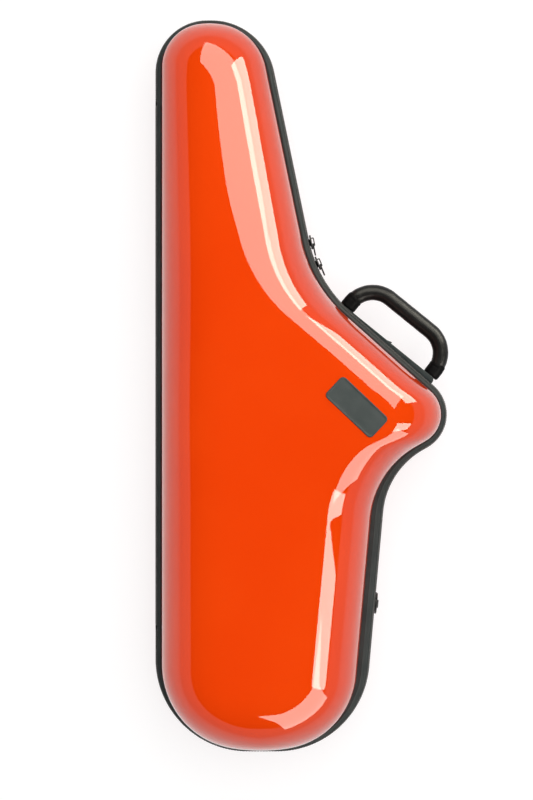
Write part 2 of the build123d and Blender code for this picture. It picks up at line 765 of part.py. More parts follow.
print("case corners", bounds.min, bounds.max, "middle", middle)
print("lid hinge", hinge_x - middle[0], "at height", base_depth)
print("neck way", neck_way, "upper slider", upper_place[0] - middle[0], upper_place[1] - middle[1])
print("bend centre", bend_centre[0] - middle[0], bend_centre[1] - middle[1], "radius", bend_radius)
print("bend turn", math.degrees(band_arcs[handle_side][4]))
for label, frame in (("upper pull", upper_frame), ("lower pull", lower_frame)):
    pin = frame * Pos(pin_place, pin_height, 0)
    print(label, pin.position.X - middle[0], pin.position.Y - middle[1], base_depth)
eye = tab_frame * Pos(0, eye_y, eye_level)
print("strap eye", eye.position.X - middle[0], eye.position.Y - middle[1], base_depth + eye_level, "way", waist_way)
print("handle middle", handle_middle[0] - middle[0], handle_middle[1] - middle[1], "angle", handle_angle)
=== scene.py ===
"""Dressed model of a moulded tenor saxophone case, closed by a zip round its edge."""
import cmath
import logging
import math
from collections.abc import Callable, Sequence
from dataclasses import dataclass, field
from enum import Enum

import bmesh
import bpy
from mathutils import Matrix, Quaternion, Vector
from mathutils.bvhtree import BVHTree


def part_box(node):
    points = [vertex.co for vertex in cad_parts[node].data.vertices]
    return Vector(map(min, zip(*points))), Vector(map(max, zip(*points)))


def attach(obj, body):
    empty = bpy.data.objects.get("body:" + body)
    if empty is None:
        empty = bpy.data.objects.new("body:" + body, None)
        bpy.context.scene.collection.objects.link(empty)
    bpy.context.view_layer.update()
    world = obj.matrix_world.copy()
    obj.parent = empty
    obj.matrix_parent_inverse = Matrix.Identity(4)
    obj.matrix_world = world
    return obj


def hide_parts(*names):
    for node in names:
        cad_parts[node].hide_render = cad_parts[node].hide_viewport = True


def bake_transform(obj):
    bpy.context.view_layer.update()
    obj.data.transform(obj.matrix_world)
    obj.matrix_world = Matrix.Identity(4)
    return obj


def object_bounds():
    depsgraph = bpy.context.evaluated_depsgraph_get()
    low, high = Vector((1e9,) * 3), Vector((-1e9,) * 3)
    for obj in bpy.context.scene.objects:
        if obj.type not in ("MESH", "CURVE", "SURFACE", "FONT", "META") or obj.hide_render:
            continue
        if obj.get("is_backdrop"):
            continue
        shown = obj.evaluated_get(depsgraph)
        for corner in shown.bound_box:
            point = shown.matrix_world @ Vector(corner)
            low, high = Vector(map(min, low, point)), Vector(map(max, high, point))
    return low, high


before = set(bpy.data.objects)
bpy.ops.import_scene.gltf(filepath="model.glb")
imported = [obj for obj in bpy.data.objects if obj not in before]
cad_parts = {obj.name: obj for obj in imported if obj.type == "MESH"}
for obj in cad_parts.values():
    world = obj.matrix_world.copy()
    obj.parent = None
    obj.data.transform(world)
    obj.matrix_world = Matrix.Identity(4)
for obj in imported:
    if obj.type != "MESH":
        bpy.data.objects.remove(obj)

LOG = logging.getLogger("saxophone_case")
CAD_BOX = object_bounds()
MM = 0.001
TURN = 2 * math.pi
UP = Vector((0.0, 0.0, 1.0))
WELD = 0.000002
Number = float | int
Pair = tuple[float, float]
Triple = tuple[float, float, float]
Piece = bpy.types.Object


class Body(Enum):
    """Moving bodies of the case."""

    BASE = "base"
    LID = "lid"
    SLIDER_UPPER = "slider_upper"
    SLIDER_LOWER = "slider_lower"
    PULL_UPPER = "pull_upper"
    PULL_LOWER = "pull_lower"
    RING = "strap_ring"


class Half(Enum):
    """The two halves of the case, by the side of the parting plane they lie on."""

    LID = 1
    BASE = -1

    @property
    def body(self) -> Body:
        """Body that this half belongs to."""
        return Body.LID if self is Half.LID else Body.BASE

    @property
    def label(self) -> str:
        """Word that the names of this half's pieces begin with."""
        return self.name.lower()


# ---------------------------------------------------------------- node trees


class Wire:
    """An output socket of a node tree that can be written in sums."""

    def __init__(self, tree: "Tree", socket: bpy.types.NodeSocket | None) -> None:
        """Keep the tree and the socket."""
        self.tree = tree
        self.socket = socket

    def other(self, output: str | int) -> "Wire":
        """Another output of the same node."""
        return Wire(self.tree, self.socket.node.outputs[output])

    def math(self, operation: str, *values: "Wire | Number") -> "Wire":
        """Result of a Math node whose inputs are the values."""
        return self.tree.node("ShaderNodeMath", {"operation": operation}, dict(enumerate(values)))

    def __add__(self, value: "Wire | Number") -> "Wire":
        """Sum."""
        return self.math("ADD", self, value)

    __radd__ = __add__

    def __sub__(self, value: "Wire | Number") -> "Wire":
        """Difference."""
        return self.math("SUBTRACT", self, value)

    def __rsub__(self, value: Number) -> "Wire":
        """Difference from a number."""
        return self.math("SUBTRACT", value, self)

    def __mul__(self, value: "Wire | Number") -> "Wire":
        """Product."""
        return self.math("MULTIPLY", self, value)

    __rmul__ = __mul__

    def sine(self) -> "Wire":
        """Sine of the value in radians."""
        return self.math("SINE", self)

    def step(self, low: float, high: float) -> "Wire":
        """Smooth rise from 0 at the low value to 1 at the high one."""
        settings = {"interpolation_type": "SMOOTHSTEP", "clamp": True}
        return self.tree.node(
            "ShaderNodeMapRange", settings, {"Value": self, "From Min": low, "From Max": high}
        )


class Tree:
    """Adds nodes to a shader, world or geometry tree by one method."""

    def __init__(self, tree: bpy.types.NodeTree) -> None:
        """Keep the node tree."""
        self.tree = tree

    def node(
        self, kind: str, settings: dict | None = None, inputs: dict | None = None, output: str | int = 0
    ) -> Wire:
        """Add a node.

        Args:
            kind: the node's type.
            settings: its properties, set before its inputs.
            inputs: values or wires of its sockets, by name or number.
            output: the output to return.

        Returns:
            That output as a wire.
        """
        made = self.tree.nodes.new(kind)
        for key, value in (settings or {}).items():
            setattr(made, key, value)
        for key, value in (inputs or {}).items():
            if isinstance(value, Wire):
                self.tree.links.new(value.socket, made.inputs[key])
            else:
                made.inputs[key].default_value = value
        return Wire(self, made.outputs[output] if len(made.outputs) else None)

    def noise(self, place: Wire, scale: float, detail: float = 2.0, roughness: float = 0.5) -> Wire:
        """Value of a noise texture, from 0 to 1."""
        sockets = {"Vector": place, "Scale": scale, "Detail": detail, "Roughness": roughness}
        return self.node("ShaderNodeTexNoise", {}, sockets, "Fac")

    def cells(self, place: Wire, scale: float, feature: str = "F1") -> Wire:
        """Distance in a Voronoi texture."""
        sockets = {"Vector": place, "Scale": scale}
        return self.node("ShaderNodeTexVoronoi", {"feature": feature}, sockets, "Distance")

    def blend_colours(self, share: Wire | Number, first: Wire | tuple, second: Wire | tuple) -> Wire:
        """Colour between two others by a share."""
        return self.node("ShaderNodeMix", {"data_type": "RGBA"}, {0: share, 6: first, 7: second}, 2)


# ------------------------------------------------------------------ finishes


@dataclass(frozen=True)
class Finish:
    """A moulded surface: two close tones, uneven gloss and a fine grain."""

    name: str
    slot: str
    colour: Triple
    second_colour: Triple
    tone_scale: float = 18.0
    roughness: float = 0.45
    roughness_swing: float = 0.12
    smear_scale: float = 30.0
    grain_scale: float = 1400.0
    grain_depth: float = 0.00004
    metallic: float = 0.0
    coat: float = 0.0
    coat_roughness: float = 0.03
    coat_ior: float = 1.5
    sheen: float = 0.0
    specular: float = 0.5
    ior: float = 1.5

    def tone(self, tree: Tree, place: Wire) -> Wire:
        """Share of the second colour over the surface."""
        return tree.noise(place, self.tone_scale, 3.0).step(0.3, 0.7)

    def gloss(self, tree: Tree, place: Wire) -> Wire:
        """Roughness over the surface."""
        smears = tree.noise(place, self.smear_scale, 4.0, 0.6)
        return (smears - 0.5) * self.roughness_swing + self.roughness

    def relief(self, tree: Tree, place: Wire) -> Wire:
        """Height of the surface's texture, from 0 to 1."""
        return tree.noise(place, self.grain_scale, 2.0, 0.6)

    def place(self, tree: Tree) -> Wire:
        """Where the pattern is read: the object's own coordinates."""
        return tree.node("ShaderNodeTexCoord", {}, {}, "Object")

    def material(self) -> bpy.types.Material:
        """Make the material, or return the one made before.

        Its name differs from the CAD's own materials, which are already in the file.

        Returns:
            The material of this finish.
        """
        name = f"look_{self.name}"
        made = bpy.data.materials.get(name)
        if made is not None:
            return made
        made = bpy.data.materials.new(name)
        made.use_nodes = True
        made.node_tree.nodes.clear()
        tree = Tree(made.node_tree)
        place = self.place(tree)
        first, second = (*self.colour, 1.0), (*self.second_colour, 1.0)
        bump = {"Strength": 1.0, "Distance": self.grain_depth, "Height": self.relief(tree, place)}
        surface = tree.node("ShaderNodeBsdfPrincipled", {}, {
            "Base Color": tree.blend_colours(self.tone(tree, place), first, second),
            "Roughness": self.gloss(tree, place), "Normal": tree.node("ShaderNodeBump", {}, bump),
            "Metallic": self.metallic, "Coat Weight": self.coat, "Coat Roughness": self.coat_roughness,
            "Coat IOR": self.coat_ior, "Sheen Weight": self.sheen, "Specular IOR Level": self.specular,
            "IOR": self.ior,
        })
        tree.node("ShaderNodeOutputMaterial", {}, {"Surface": surface})
        made.diffuse_color = first
        return made


@dataclass(frozen=True)
class LacqueredShell(Finish):
    """High-gloss lacquer over a moulded shell, with faint handling marks."""

    marks_per_smear: float = 22.0
    mark_roughness: float = 0.08

    def gloss(self, tree: Tree, place: Wire) -> Wire:
        """Roughness: smooth, with soft smears where hands have been, and a few fine marks."""
        smears = tree.noise(place, self.smear_scale, 5.0, 0.65).step(0.45, 0.8)
        marks = tree.noise(place, self.smear_scale * self.marks_per_smear, 1.0).step(0.72, 0.8)
        return smears * self.roughness_swing + marks * self.mark_roughness + self.roughness


@dataclass(frozen=True)
class WovenTape(Finish):
    """Herringbone weave that follows the tape, read from its UV map in metres."""

    rib: float = 0.0011

    def place(self, tree: Tree) -> Wire:
        """Where the weave is read: the piece's UV map."""
        return tree.node("ShaderNodeTexCoord", {}, {}, "UV")

    def weave(self, tree: Tree, place: Wire) -> Wire:
        """Height of the threads, from 0 to 1."""
        along = tree.node("ShaderNodeSeparateXYZ", {}, {"Vector": place})
        across = along.other(1)
        turn = TURN / self.rib
        rows = (across * (turn / 4)).sine()
        threads = (along * turn + rows.math("ABSOLUTE", rows) * 4.0).sine() * 0.5 + 0.5
        picks = (across * (turn * 1.6)).sine() * 0.5 + 0.5
        return threads * 0.7 + picks * 0.3

    def relief(self, tree: Tree, place: Wire) -> Wire:
        """Threads with a little fluff."""
        return self.weave(tree, place) * 0.85 + tree.noise(place, 5200.0) * 0.15

    def tone(self, tree: Tree, place: Wire) -> Wire:
        """Mostly painted shade: lighter on the raised threads and darker in the low gaps between them,
        with some random tone over it.
        """
        # painted shade: the colour follows the thread height, darker in the gaps, with a random tone
        # noise over it
        return self.weave(tree, place) * 0.7 + tree.noise(place, 90.0) * 0.3


@dataclass(frozen=True)
class GrainedCover(Finish):
    """Soft cover with a fine pebble grain and creases."""

    def relief(self, tree: Tree, place: Wire) -> Wire:
        """Pebbles between fine furrows, over a slow unevenness."""
        pebbles = tree.cells(place, self.grain_scale, "DISTANCE_TO_EDGE").step(0.0, 0.22)
        return pebbles * 0.6 + tree.noise(place, 120.0, 3.0) * 0.4


@dataclass(frozen=True)
class ShortPile(Finish):
    """Short-pile plush, whose tufts lean in patches."""

    def relief(self, tree: Tree, place: Wire) -> Wire:
        """Tufts, with patches that were brushed over."""
        tufts = tree.noise(place, self.grain_scale, 3.0, 0.75)
        return tufts * 0.7 + tree.noise(place, 34.0, 2.0) * 0.3

    def tone(self, tree: Tree, place: Wire) -> Wire:
        """Painted sheen and shade: lighter patches where the pile leans away, and painted shade in the
        gaps between tufts.
        """
        # painted sheen: patches lighter where the pile leans away
        patches = tree.noise(place, self.tone_scale, 3.0, 0.6).step(0.35, 0.65)
        # painted shade: darker in the gaps between tufts
        tufts = tree.noise(place, self.grain_scale, 2.0, 0.7).step(0.25, 0.75)
        return patches * 0.55 + tufts * 0.45


@dataclass(frozen=True)
class CellFoam(Finish):
    """Closed-cell foam with open pores on its cut faces."""

    def relief(self, tree: Tree, place: Wire) -> Wire:
        """Small pits."""
        return tree.cells(place, self.grain_scale).step(0.0, 0.5)


SHELL = LacqueredShell(
    "orange_lacquer", "orange_shell", (0.93, 0.056, 0.0016), (0.96, 0.064, 0.0024), tone_scale=6.0,
    roughness=0.30, roughness_swing=0.10, smear_scale=11.0, grain_scale=420.0, grain_depth=0.000004,
    coat=1.0, coat_roughness=0.02, coat_ior=1.55, specular=0.0,
)
RIM = Finish(
    "edge_band", "rim_band", (0.032, 0.041, 0.041), (0.042, 0.052, 0.051), tone_scale=40.0,
    roughness=0.44, roughness_swing=0.18, smear_scale=55.0, grain_scale=2400.0, grain_depth=0.00005,
    ior=1.16,
)
# The tape's darker first colour lies in the gaps between threads as painted shade, the lighter second one
# on the raised threads
TAPE = WovenTape(
    "zip_tape_weave", "zip_tape", (0.013, 0.015, 0.015), (0.038, 0.042, 0.042),
    roughness=0.85, roughness_swing=0.1, grain_depth=0.00022, sheen=0.25,
)
COIL = Finish(
    "zip_coil", "zip_teeth", (0.016, 0.017, 0.017), (0.026, 0.028, 0.028), tone_scale=300.0,
    roughness=0.36, roughness_swing=0.15, smear_scale=200.0, grain_scale=3000.0, grain_depth=0.00002,
    specular=0.15,
)
THREAD = Finish(
    "black_thread", "zip_tape", (0.030, 0.032, 0.032), (0.055, 0.058, 0.058), tone_scale=2500.0,
    roughness=0.7, grain_scale=6000.0, grain_depth=0.00008, sheen=0.2,
)
FOAM = CellFoam(
    "padding_foam", "foam", (0.060, 0.060, 0.064), (0.085, 0.085, 0.090), roughness=0.9,
    grain_scale=900.0, grain_depth=0.0003,
)
# In the plush finishes the lighter second colour carries painted sheen on leaning pile, and the darker
# first one painted shade between tufts
LINING = ShortPile(
    "plush_lining", "lining", (0.022, 0.023, 0.026), (0.060, 0.062, 0.070), tone_scale=26.0,
    roughness=0.95, roughness_swing=0.05, grain_scale=1500.0, grain_depth=0.0006, sheen=0.5,
)
# Same painted sheen and shade as the lining, in the velour's colours
VELOUR = ShortPile(
    "pad_velour", "pad_velour", (0.030, 0.031, 0.036), (0.085, 0.087, 0.098), tone_scale=40.0,
    roughness=0.9, roughness_swing=0.06, grain_scale=1900.0, grain_depth=0.0005, sheen=0.7,
)
PLATE = Finish(
    "plate_rubber", "name_plate", (0.047, 0.058, 0.056), (0.060, 0.070, 0.068), tone_scale=60.0,
    roughness=0.52, roughness_swing=0.16, smear_scale=70.0, grain_scale=2100.0, grain_depth=0.00006,
    ior=1.2,
)
SEAL = Finish(
    "seal_rubber", "seal_rubber", (0.014, 0.014, 0.014), (0.022, 0.022, 0.022), roughness=0.5,
    grain_scale=1200.0,
)
BLACK_METAL = Finish(
    "black_plated_metal", "black_metal", (0.010, 0.010, 0.011), (0.020, 0.020, 0.021),
    tone_scale=160.0, roughness=0.30, roughness_swing=0.16, smear_scale=240.0, grain_scale=1800.0,
    grain_depth=0.000012, metallic=0.1, coat=0.12, coat_roughness=0.08, ior=1.3,
)
STRIP = Finish(
    "strip_plastic", "strip_plastic", (0.022, 0.030, 0.030), (0.034, 0.042, 0.042), tone_scale=50.0,
    roughness=0.36, roughness_swing=0.16, smear_scale=60.0, grain_scale=2600.0, grain_depth=0.00003,
    ior=1.24,
)
FERRULE = Finish(
    "ferrule_plastic", "ferrule_plastic", (0.004, 0.004, 0.0043), (0.007, 0.007, 0.0073),
    tone_scale=90.0, roughness=0.38, roughness_swing=0.10, smear_scale=90.0, grain_scale=2600.0,
    grain_depth=0.00002, ior=1.1,
)
GRIP = GrainedCover(
    "grip_cover", "grip_cover", (0.006, 0.0065, 0.0065), (0.010, 0.0105, 0.0105), tone_scale=30.0,
    roughness=0.31, roughness_swing=0.08, smear_scale=45.0, grain_scale=1500.0, grain_depth=0.000015,
    ior=1.28,
)
CORE = Finish("core_rubber", "core_rubber", (0.03, 0.03, 0.03), (0.04, 0.04, 0.04), roughness=0.7)
STEEL = Finish(
    "zinc_steel", "bolt_steel", (0.52, 0.52, 0.50), (0.62, 0.61, 0.58), tone_scale=220.0,
    roughness=0.36, roughness_swing=0.2, smear_scale=160.0, grain_depth=0.00002, metallic=1.0,
)


# -------------------------------------------------------------- mesh helpers


def link(name: str, mesh: bpy.types.Mesh) -> Piece:
    """Put a mesh in the scene as an object at the origin."""
    made = bpy.data.objects.new(name, mesh)
    bpy.context.scene.collection.objects.link(made)
    return made


def turn_outward(mesh: bpy.types.Mesh) -> None:
    """Flip the faces of a closed mesh that encloses a negative volume."""
    mesh.calc_loop_triangles()
    volume = 0.0
    for triangle in mesh.loop_triangles:
        a, b, c = (mesh.vertices[i].co for i in triangle.vertices)
        volume += a.dot(b.cross(c))
    if volume < 0:
        mesh.flip_normals()


def solid_piece(
    name: str, points: Sequence[Sequence[float]], faces: Sequence[Sequence[int]],
    uvs: Sequence[Sequence[Pair]] | None = None,
) -> Piece:
    """Make a closed, smooth piece.

    Args:
        name: the object's name.
        points: its vertices.
        faces: its faces, all turned the same way.
        uvs: one UV for each corner of each face, if the finish needs them.

    Returns:
        The new object.
    """
    mesh = bpy.data.meshes.new(name)
    mesh.from_pydata([tuple(point) for point in points], [], [tuple(face) for face in faces])
    if uvs:
        layer = mesh.uv_layers.new(name="along")
        layer.data.foreach_set("uv", [value for face in uvs for corner in face for value in corner])
    turn_outward(mesh)
    mesh.shade_smooth()
    mesh.update()
    return link(name, mesh)


def running_length(points: Sequence[Vector]) -> list[float]:
    """Lengths along a ring of points, from 0 back to its start."""
    run = [0.0]
    for here, ahead in zip(points, [*points[1:], points[0]]):
        run.append(run[-1] + (ahead - here).length)
    return run


def swept(
    name: str, stations: Sequence[Sequence[Vector]], closed: bool, crease_degrees: float = 50.0
) -> Piece:
    """Sweep a closed profile past stations along a way.

    Args:
        name: the object's name.
        stations: the profile's points at each station.
        closed: whether the last station joins the first one.
        crease_degrees: angle over which an edge looks sharp.

    Returns:
        The new object, with a UV map of metres along and across.
    """
    count, size = len(stations), len(stations[0])
    along = running_length([station[0] for station in stations])
    across = running_length(stations[0])
    points = [point for station in stations for point in station]
    faces, uvs = [], []
    for i in range(count if closed else count - 1):
        here, ahead = i * size, (i + 1) % count * size
        near, far = along[i], along[i + 1]
        for j in range(size):
            k = (j + 1) % size
            faces.append((here + j, ahead + j, ahead + k, here + k))
            low, high = across[j], across[j + 1]
            uvs.append(((near, low), (far, low), (far, high), (near, high)))
    if not closed:
        last = (count - 1) * size
        faces.append(tuple(range(size)))
        faces.append(tuple(last + j for j in reversed(range(size))))
        for shift in (0.0, along[-2]):
            uvs.append(tuple((shift, across[j]) for j in range(size)))
    made = solid_piece(name, points, faces, uvs)
    made.data.set_sharp_from_angle(angle=math.radians(crease_degrees))
    return made


def applied(piece: Piece) -> Piece:
    """Turn what an object's modifiers give into its plain mesh, and remove them."""
    shown = bpy.context.evaluated_depsgraph_get()
    plain = bpy.data.meshes.new_from_object(piece.evaluated_get(shown), depsgraph=shown)
    piece.modifiers.clear()
    piece.data = plain
    return piece


def merged_copy(node: str, name: str, flat_angle: float = 0.0) -> Piece:
    """Copy a CAD node's mesh with its loose triangles merged.

    Args:
        node: the CAD node.
        name: the new object's name.
        flat_angle: angle up to which faces are joined into one, if any.

    Returns:
        The new object.
    """
    shape = bmesh.new()
    shape.from_mesh(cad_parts[node].data)
    bmesh.ops.remove_doubles(shape, verts=shape.verts, dist=WELD)
    if flat_angle:
        bmesh.ops.dissolve_limit(shape, angle_limit=flat_angle, verts=shape.verts, edges=shape.edges)
    mesh = bpy.data.meshes.new(name)
    shape.to_mesh(mesh)
    shape.free()
    mesh.materials.clear()
    return link(name, mesh)


def bevelled_copy(node: str, name: str, width: float) -> Piece:
    """Copy a small CAD node with its edges rounded over, as a moulded or cast piece has them.

    Args:
        node: the CAD node that it replaces.
        name: the new object's name.
        width: how far each edge is rounded over.

    Returns:
        The new object.
    """
    piece = merged_copy(node, name, math.radians(0.6))
    rounding = piece.modifiers.new("rounded_edges", "BEVEL")
    rounding.width = width
    rounding.segments = 3
    rounding.limit_method = "ANGLE"
    rounding.angle_limit = math.radians(32)
    rounding.harden_normals = False
    applied(piece)
    piece.data.shade_smooth()
    piece.data.set_sharp_from_angle(angle=math.radians(48))
    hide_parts(node)
    return piece


def dress(piece: Piece, finish: Finish, body: Body) -> None:
    """Give a finished piece its material, and let it ride on its body.

    Args:
        piece: the finished object.
        finish: its finish.
        body: the CAD body that it moves with.
    """
    piece.data.materials.clear()
    piece.data.materials.append(finish.material())
    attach(piece, body.value)
    LOG.info("%s: %d faces on %s", piece.name, len(piece.data.polygons), body.value)


def dress_node(node: str, finish: Finish) -> None:
    """Give a CAD node that stays a finish of its own."""
    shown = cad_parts[node]
    if not shown.material_slots:
        shown.data.materials.append(finish.material())
    for held in shown.material_slots:
        held.material = finish.material()
    LOG.info("%s keeps its own shape", node)


# -------------------------------------------------------- rows of small pieces


@dataclass(frozen=True)
class Row:
    """Copies of one small piece at even steps along ways, set by Geometry Nodes."""

    name: str
    ways: Sequence[Sequence[Vector]]
    step: float
    finish: Finish
    closed: bool = False
    swing: float = 0.0
    first_seed: int = 7

    def group(self) -> bpy.types.GeometryNodeTree:
        """Build the tree, or return the one built before.

        Returns:
            The node group, with named inputs for the copies.
        """
        found = bpy.data.node_groups.get("copies_along_path")
        if found is not None:
            return found
        group = bpy.data.node_groups.new("copies_along_path", "GeometryNodeTree")
        group.is_modifier = True
        for label, kind in (
            ("Geometry", "Geometry"), ("Copies", "Int"), ("Piece", "Object"),
            ("Size Swing", "Float"), ("Seed", "Int"), ("Finish", "Material"),
        ):
            group.interface.new_socket(label, in_out="INPUT", socket_type=f"NodeSocket{kind}")
        group.interface.new_socket("Geometry", in_out="OUTPUT", socket_type="NodeSocketGeometry")
        tree = Tree(group)
        given = tree.node("NodeGroupInput")
        counts = {"Curve": given, "Count": given.other("Copies")}
        spots = tree.node("GeometryNodeCurveToPoints", {"mode": "COUNT"}, counts)
        axes = {"primary_axis": "X", "secondary_axis": "Z"}
        turned = tree.node(
            "FunctionNodeAxesToRotation", axes, {0: spots.other("Tangent"), 1: (0.0, 0.0, 1.0)}
        )
        piece = tree.node("GeometryNodeObjectInfo", {}, {"Object": given.other("Piece")}, "Geometry")
        swing = given.other("Size Swing")
        limits = {2: 1 - swing, 3: swing + 1, "Seed": given.other("Seed")}
        size = tree.node("FunctionNodeRandomValue", {"data_type": "FLOAT"}, limits, 1)
        placed = {"Points": spots, "Instance": piece, "Rotation": turned, "Scale": size}
        copies = tree.node("GeometryNodeInstanceOnPoints", {}, placed)
        real = tree.node("GeometryNodeRealizeInstances", {}, {"Geometry": copies})
        paint = {"Geometry": real, "Material": given.other("Finish")}
        tree.node("NodeGroupOutput", {}, {"Geometry": tree.node("GeometryNodeSetMaterial", {}, paint)})
        return group

    def along(self, way: Sequence[Vector], piece: Piece, seed: int) -> bpy.types.Mesh:
        """Mesh of the copies along one way.

        Args:
            way: its points.
            piece: what is copied.
            seed: seed of the copies' sizes.

        Returns:
            The new mesh.
        """
        curve = bpy.data.curves.new(f"{self.name}_way", "CURVE")
        curve.dimensions = "3D"
        spline = curve.splines.new("POLY")
        spline.points.add(len(way) - 1)
        spline.points.foreach_set("co", [value for point in way for value in (*point, 1.0)])
        spline.use_cyclic_u = self.closed
        carrier = bpy.data.objects.new(f"{self.name}_way", curve)
        bpy.context.scene.collection.objects.link(carrier)
        ends = [*way, way[0]] if self.closed else way
        length = sum((b - a).length for a, b in zip(ends, ends[1:]))
        values = {
            "Copies": max(2, round(length / self.step)), "Piece": piece, "Size Swing": self.swing,
            "Seed": seed, "Finish": self.finish.material(),
        }
        modifier = carrier.modifiers.new("copies", "NODES")
        modifier.node_group = self.group()
        for item in modifier.node_group.interface.items_tree:
            if item.in_out == "INPUT" and item.name in values:
                modifier[item.identifier] = values[item.name]
        shown = bpy.context.evaluated_depsgraph_get()
        mesh = bpy.data.meshes.new_from_object(carrier.evaluated_get(shown), depsgraph=shown)
        bpy.data.objects.remove(carrier)
        return mesh

    def make(self, piece: Piece) -> Piece:
        """Set copies of a piece along every way, and remove the piece.

        Args:
            piece: what is copied, on its own axes: X along the way, Z up.

        Returns:
            The copies as one plain object.
        """
        parts = [self.along(way, piece, self.first_seed + i) for i, way in enumerate(self.ways)]
        bpy.data.objects.remove(piece)
        shape = bmesh.new()
        for mesh in parts:
            shape.from_mesh(mesh)
            bpy.data.meshes.remove(mesh)
        whole = bpy.data.meshes.new(self.name)
        shape.to_mesh(whole)
        shape.free()
        whole.shade_smooth()
        return link(self.name, whole)

    def stitch(self, length: float, radius: float, body: Body) -> None:
        """Set rounded bars along the ways, each of them a stitch half sunk in the cloth.

        Args:
            length: length of one stitch.
            radius: its radius at the middle.
            body: the body that the row moves with.
        """
        sides = 6
        angles = [TURN * k / sides for k in range(sides)]
        stations = []
        for share, size in ((-0.5, 0.25), (-0.38, 0.8), (0.0, 1.0), (0.38, 0.8), (0.5, 0.25)):
            reach = radius * size
            stations.append([
                Vector((share * length, math.cos(a) * reach, math.sin(a) * reach)) for a in angles
            ])
        dress(self.make(swept("stitch", stations, False)), self.finish, body)


# ------------------------------------------------------------- case geometry


def between(a: complex, b: complex, share: float) -> complex:
    """Plan point between two others."""
    return a + (b - a) * share


@dataclass(frozen=True)
class Arc:
    """One rounded corner of an outline; its turn is negative where the outline goes clockwise."""

    start: complex
    end: complex
    centre: complex
    radius: float
    turn: float

    def point(self, share: float) -> complex:
        """Point on the arc at a share of its turn."""
        return self.centre + (self.start - self.centre) * cmath.rect(1.0, self.turn * share)


@dataclass(frozen=True)
class Outline:
    """The shell's outline in the parting plane, with its spine at x = 0 and its bow end at y = 0.

    A plan point is the complex number x + y i, so a way times i is the way to its left.
    """

    length: float = 0.821
    width: float = 0.318
    corner_shares: tuple[Pair, ...] = (
        (0.0, 1.0), (0.338, 1.0), (0.531, 0.639), (1.070, 0.453), (0.7585, 0.385), (0.669, 0.0),
        (0.0, 0.0),
    )
    radii: tuple[float, ...] = (0.052, 0.065, 0.157, 0.035, 0.102, 0.095, 0.098)
    flanges: tuple[float, ...] = (0.004, 0.007, 0.0067, 0.007, 0.013, 0.004, 0.0064)
    bow_side: int = 5
    fill_share: float = 0.99
    step: float = 0.004
    zip_setback: float = 0.034

    def corners(self) -> list[complex]:
        """Corners before rounding."""
        return [complex(x * self.width, y * self.length) for x, y in self.corner_shares]

    def arcs(self, margins: Sequence[float]) -> list[Arc]:
        """Rounded corners of the outline whose sides stand off by their margins.

        Args:
            margins: how far each side stands off, outward.

        Returns:
            One arc for each corner; lines join one to the next.
        """
        points = self.corners()
        ways = [(b - a) / abs(b - a) for a, b in zip(points, points[1:] + points[:1])]
        found = []
        for i, point in enumerate(points):
            before, after = ways[i - 1], ways[i]
            turned = before.conjugate() * after
            turn = cmath.phase(turned)
            side_a = point + before * 1j * margins[i - 1]
            side_b = point + after * 1j * margins[i]
            along = ((side_b - side_a).conjugate() * after).imag / turned.imag
            bend = math.copysign(1.0, turn)
            radius = self.radii[i] - bend * (margins[i - 1] + margins[i]) / 2
            reach = radius * math.tan(abs(turn) / 2)
            found.append((side_a + before * along, reach, radius, turn, before, after))
        rooms = []
        for (corner, reach, *_), (ahead, far_reach, *_) in zip(found, found[1:] + found[:1]):
            rooms.append(min(1.0, self.fill_share * abs(ahead - corner) / (reach + far_reach)))
        arcs = []
        for i, (corner, reach, radius, turn, before, after) in enumerate(found):
            fit = min(rooms[i - 1], rooms[i])
            radius *= fit
            start = corner - before * reach * fit
            centre = start + before * 1j * radius * math.copysign(1.0, turn)
            arcs.append(Arc(start, corner + after * reach * fit, centre, radius, turn))
        return arcs

    def even(self, margin: float) -> list[float]:
        """The same margin on every side."""
        return [margin] * len(self.radii)

    def on_flange(self, margin: float) -> list[float]:
        """Each side's flange and a margin."""
        return [flange + margin for flange in self.flanges]

    def ring(self, margins: Sequence[float], step: float | None = None) -> list[complex]:
        """Points round the outline, the same number whatever the margins are.

        Args:
            margins: how far each side stands off.
            step: about how far apart the points are.

        Returns:
            The points of a closed ring, clockwise from the spine's neck corner.
        """
        step = step or self.step
        plain, arcs = self.arcs(self.even(0.0)), self.arcs(margins)
        points = []
        for i, (model, arc) in enumerate(zip(plain, arcs)):
            ahead = (i + 1) % len(arcs)
            steps = max(4, round(abs(model.turn) * model.radius / step))
            points += [arc.point(j / steps) for j in range(steps)]
            steps = max(1, round(abs(plain[ahead].start - model.end) / step))
            points += [between(arc.end, arcs[ahead].start, j / steps) for j in range(steps)]
        return points

    def zip_ends(self) -> Pair:
        """Lowest and highest Y of the spine's plain tape, where the zip stops."""
        arcs = self.arcs(self.on_flange(0.0))
        return arcs[-1].end.imag + self.zip_setback, arcs[0].start.imag - self.zip_setback

    def zip_way(self, margins: Sequence[float]) -> list[complex]:
        """Points of the way that the zip follows, from its neck stop round to its bow stop.

        Args:
            margins: how far each side stands off.

        Returns:
            The points of an open way, the same number whatever the margins are.
        """
        ring = self.ring(margins)
        low, high = (complex(-margins[-1], y) for y in self.zip_ends())
        steps = round(self.zip_setback / self.step)
        end = self.arcs(margins)[-1].end
        cut = min(range(len(ring)), key=lambda k: abs(ring[k] - end))
        lead = [between(high, ring[0], j / steps) for j in range(steps)]
        tail = [between(end, low, j / steps) for j in range(1, steps + 1)]
        return lead + ring[:cut + 1] + tail


@dataclass(frozen=True)
class Crown:
    """How deep a half is, how far it falls towards the neck end, and how much its crown is bowed."""

    depth: float
    neck_drop: float
    bow: float


LID_CROWN = Crown(0.102, 0.025, 0.10)
BASE_CROWN = Crown(0.092, 0.008, 0.0)


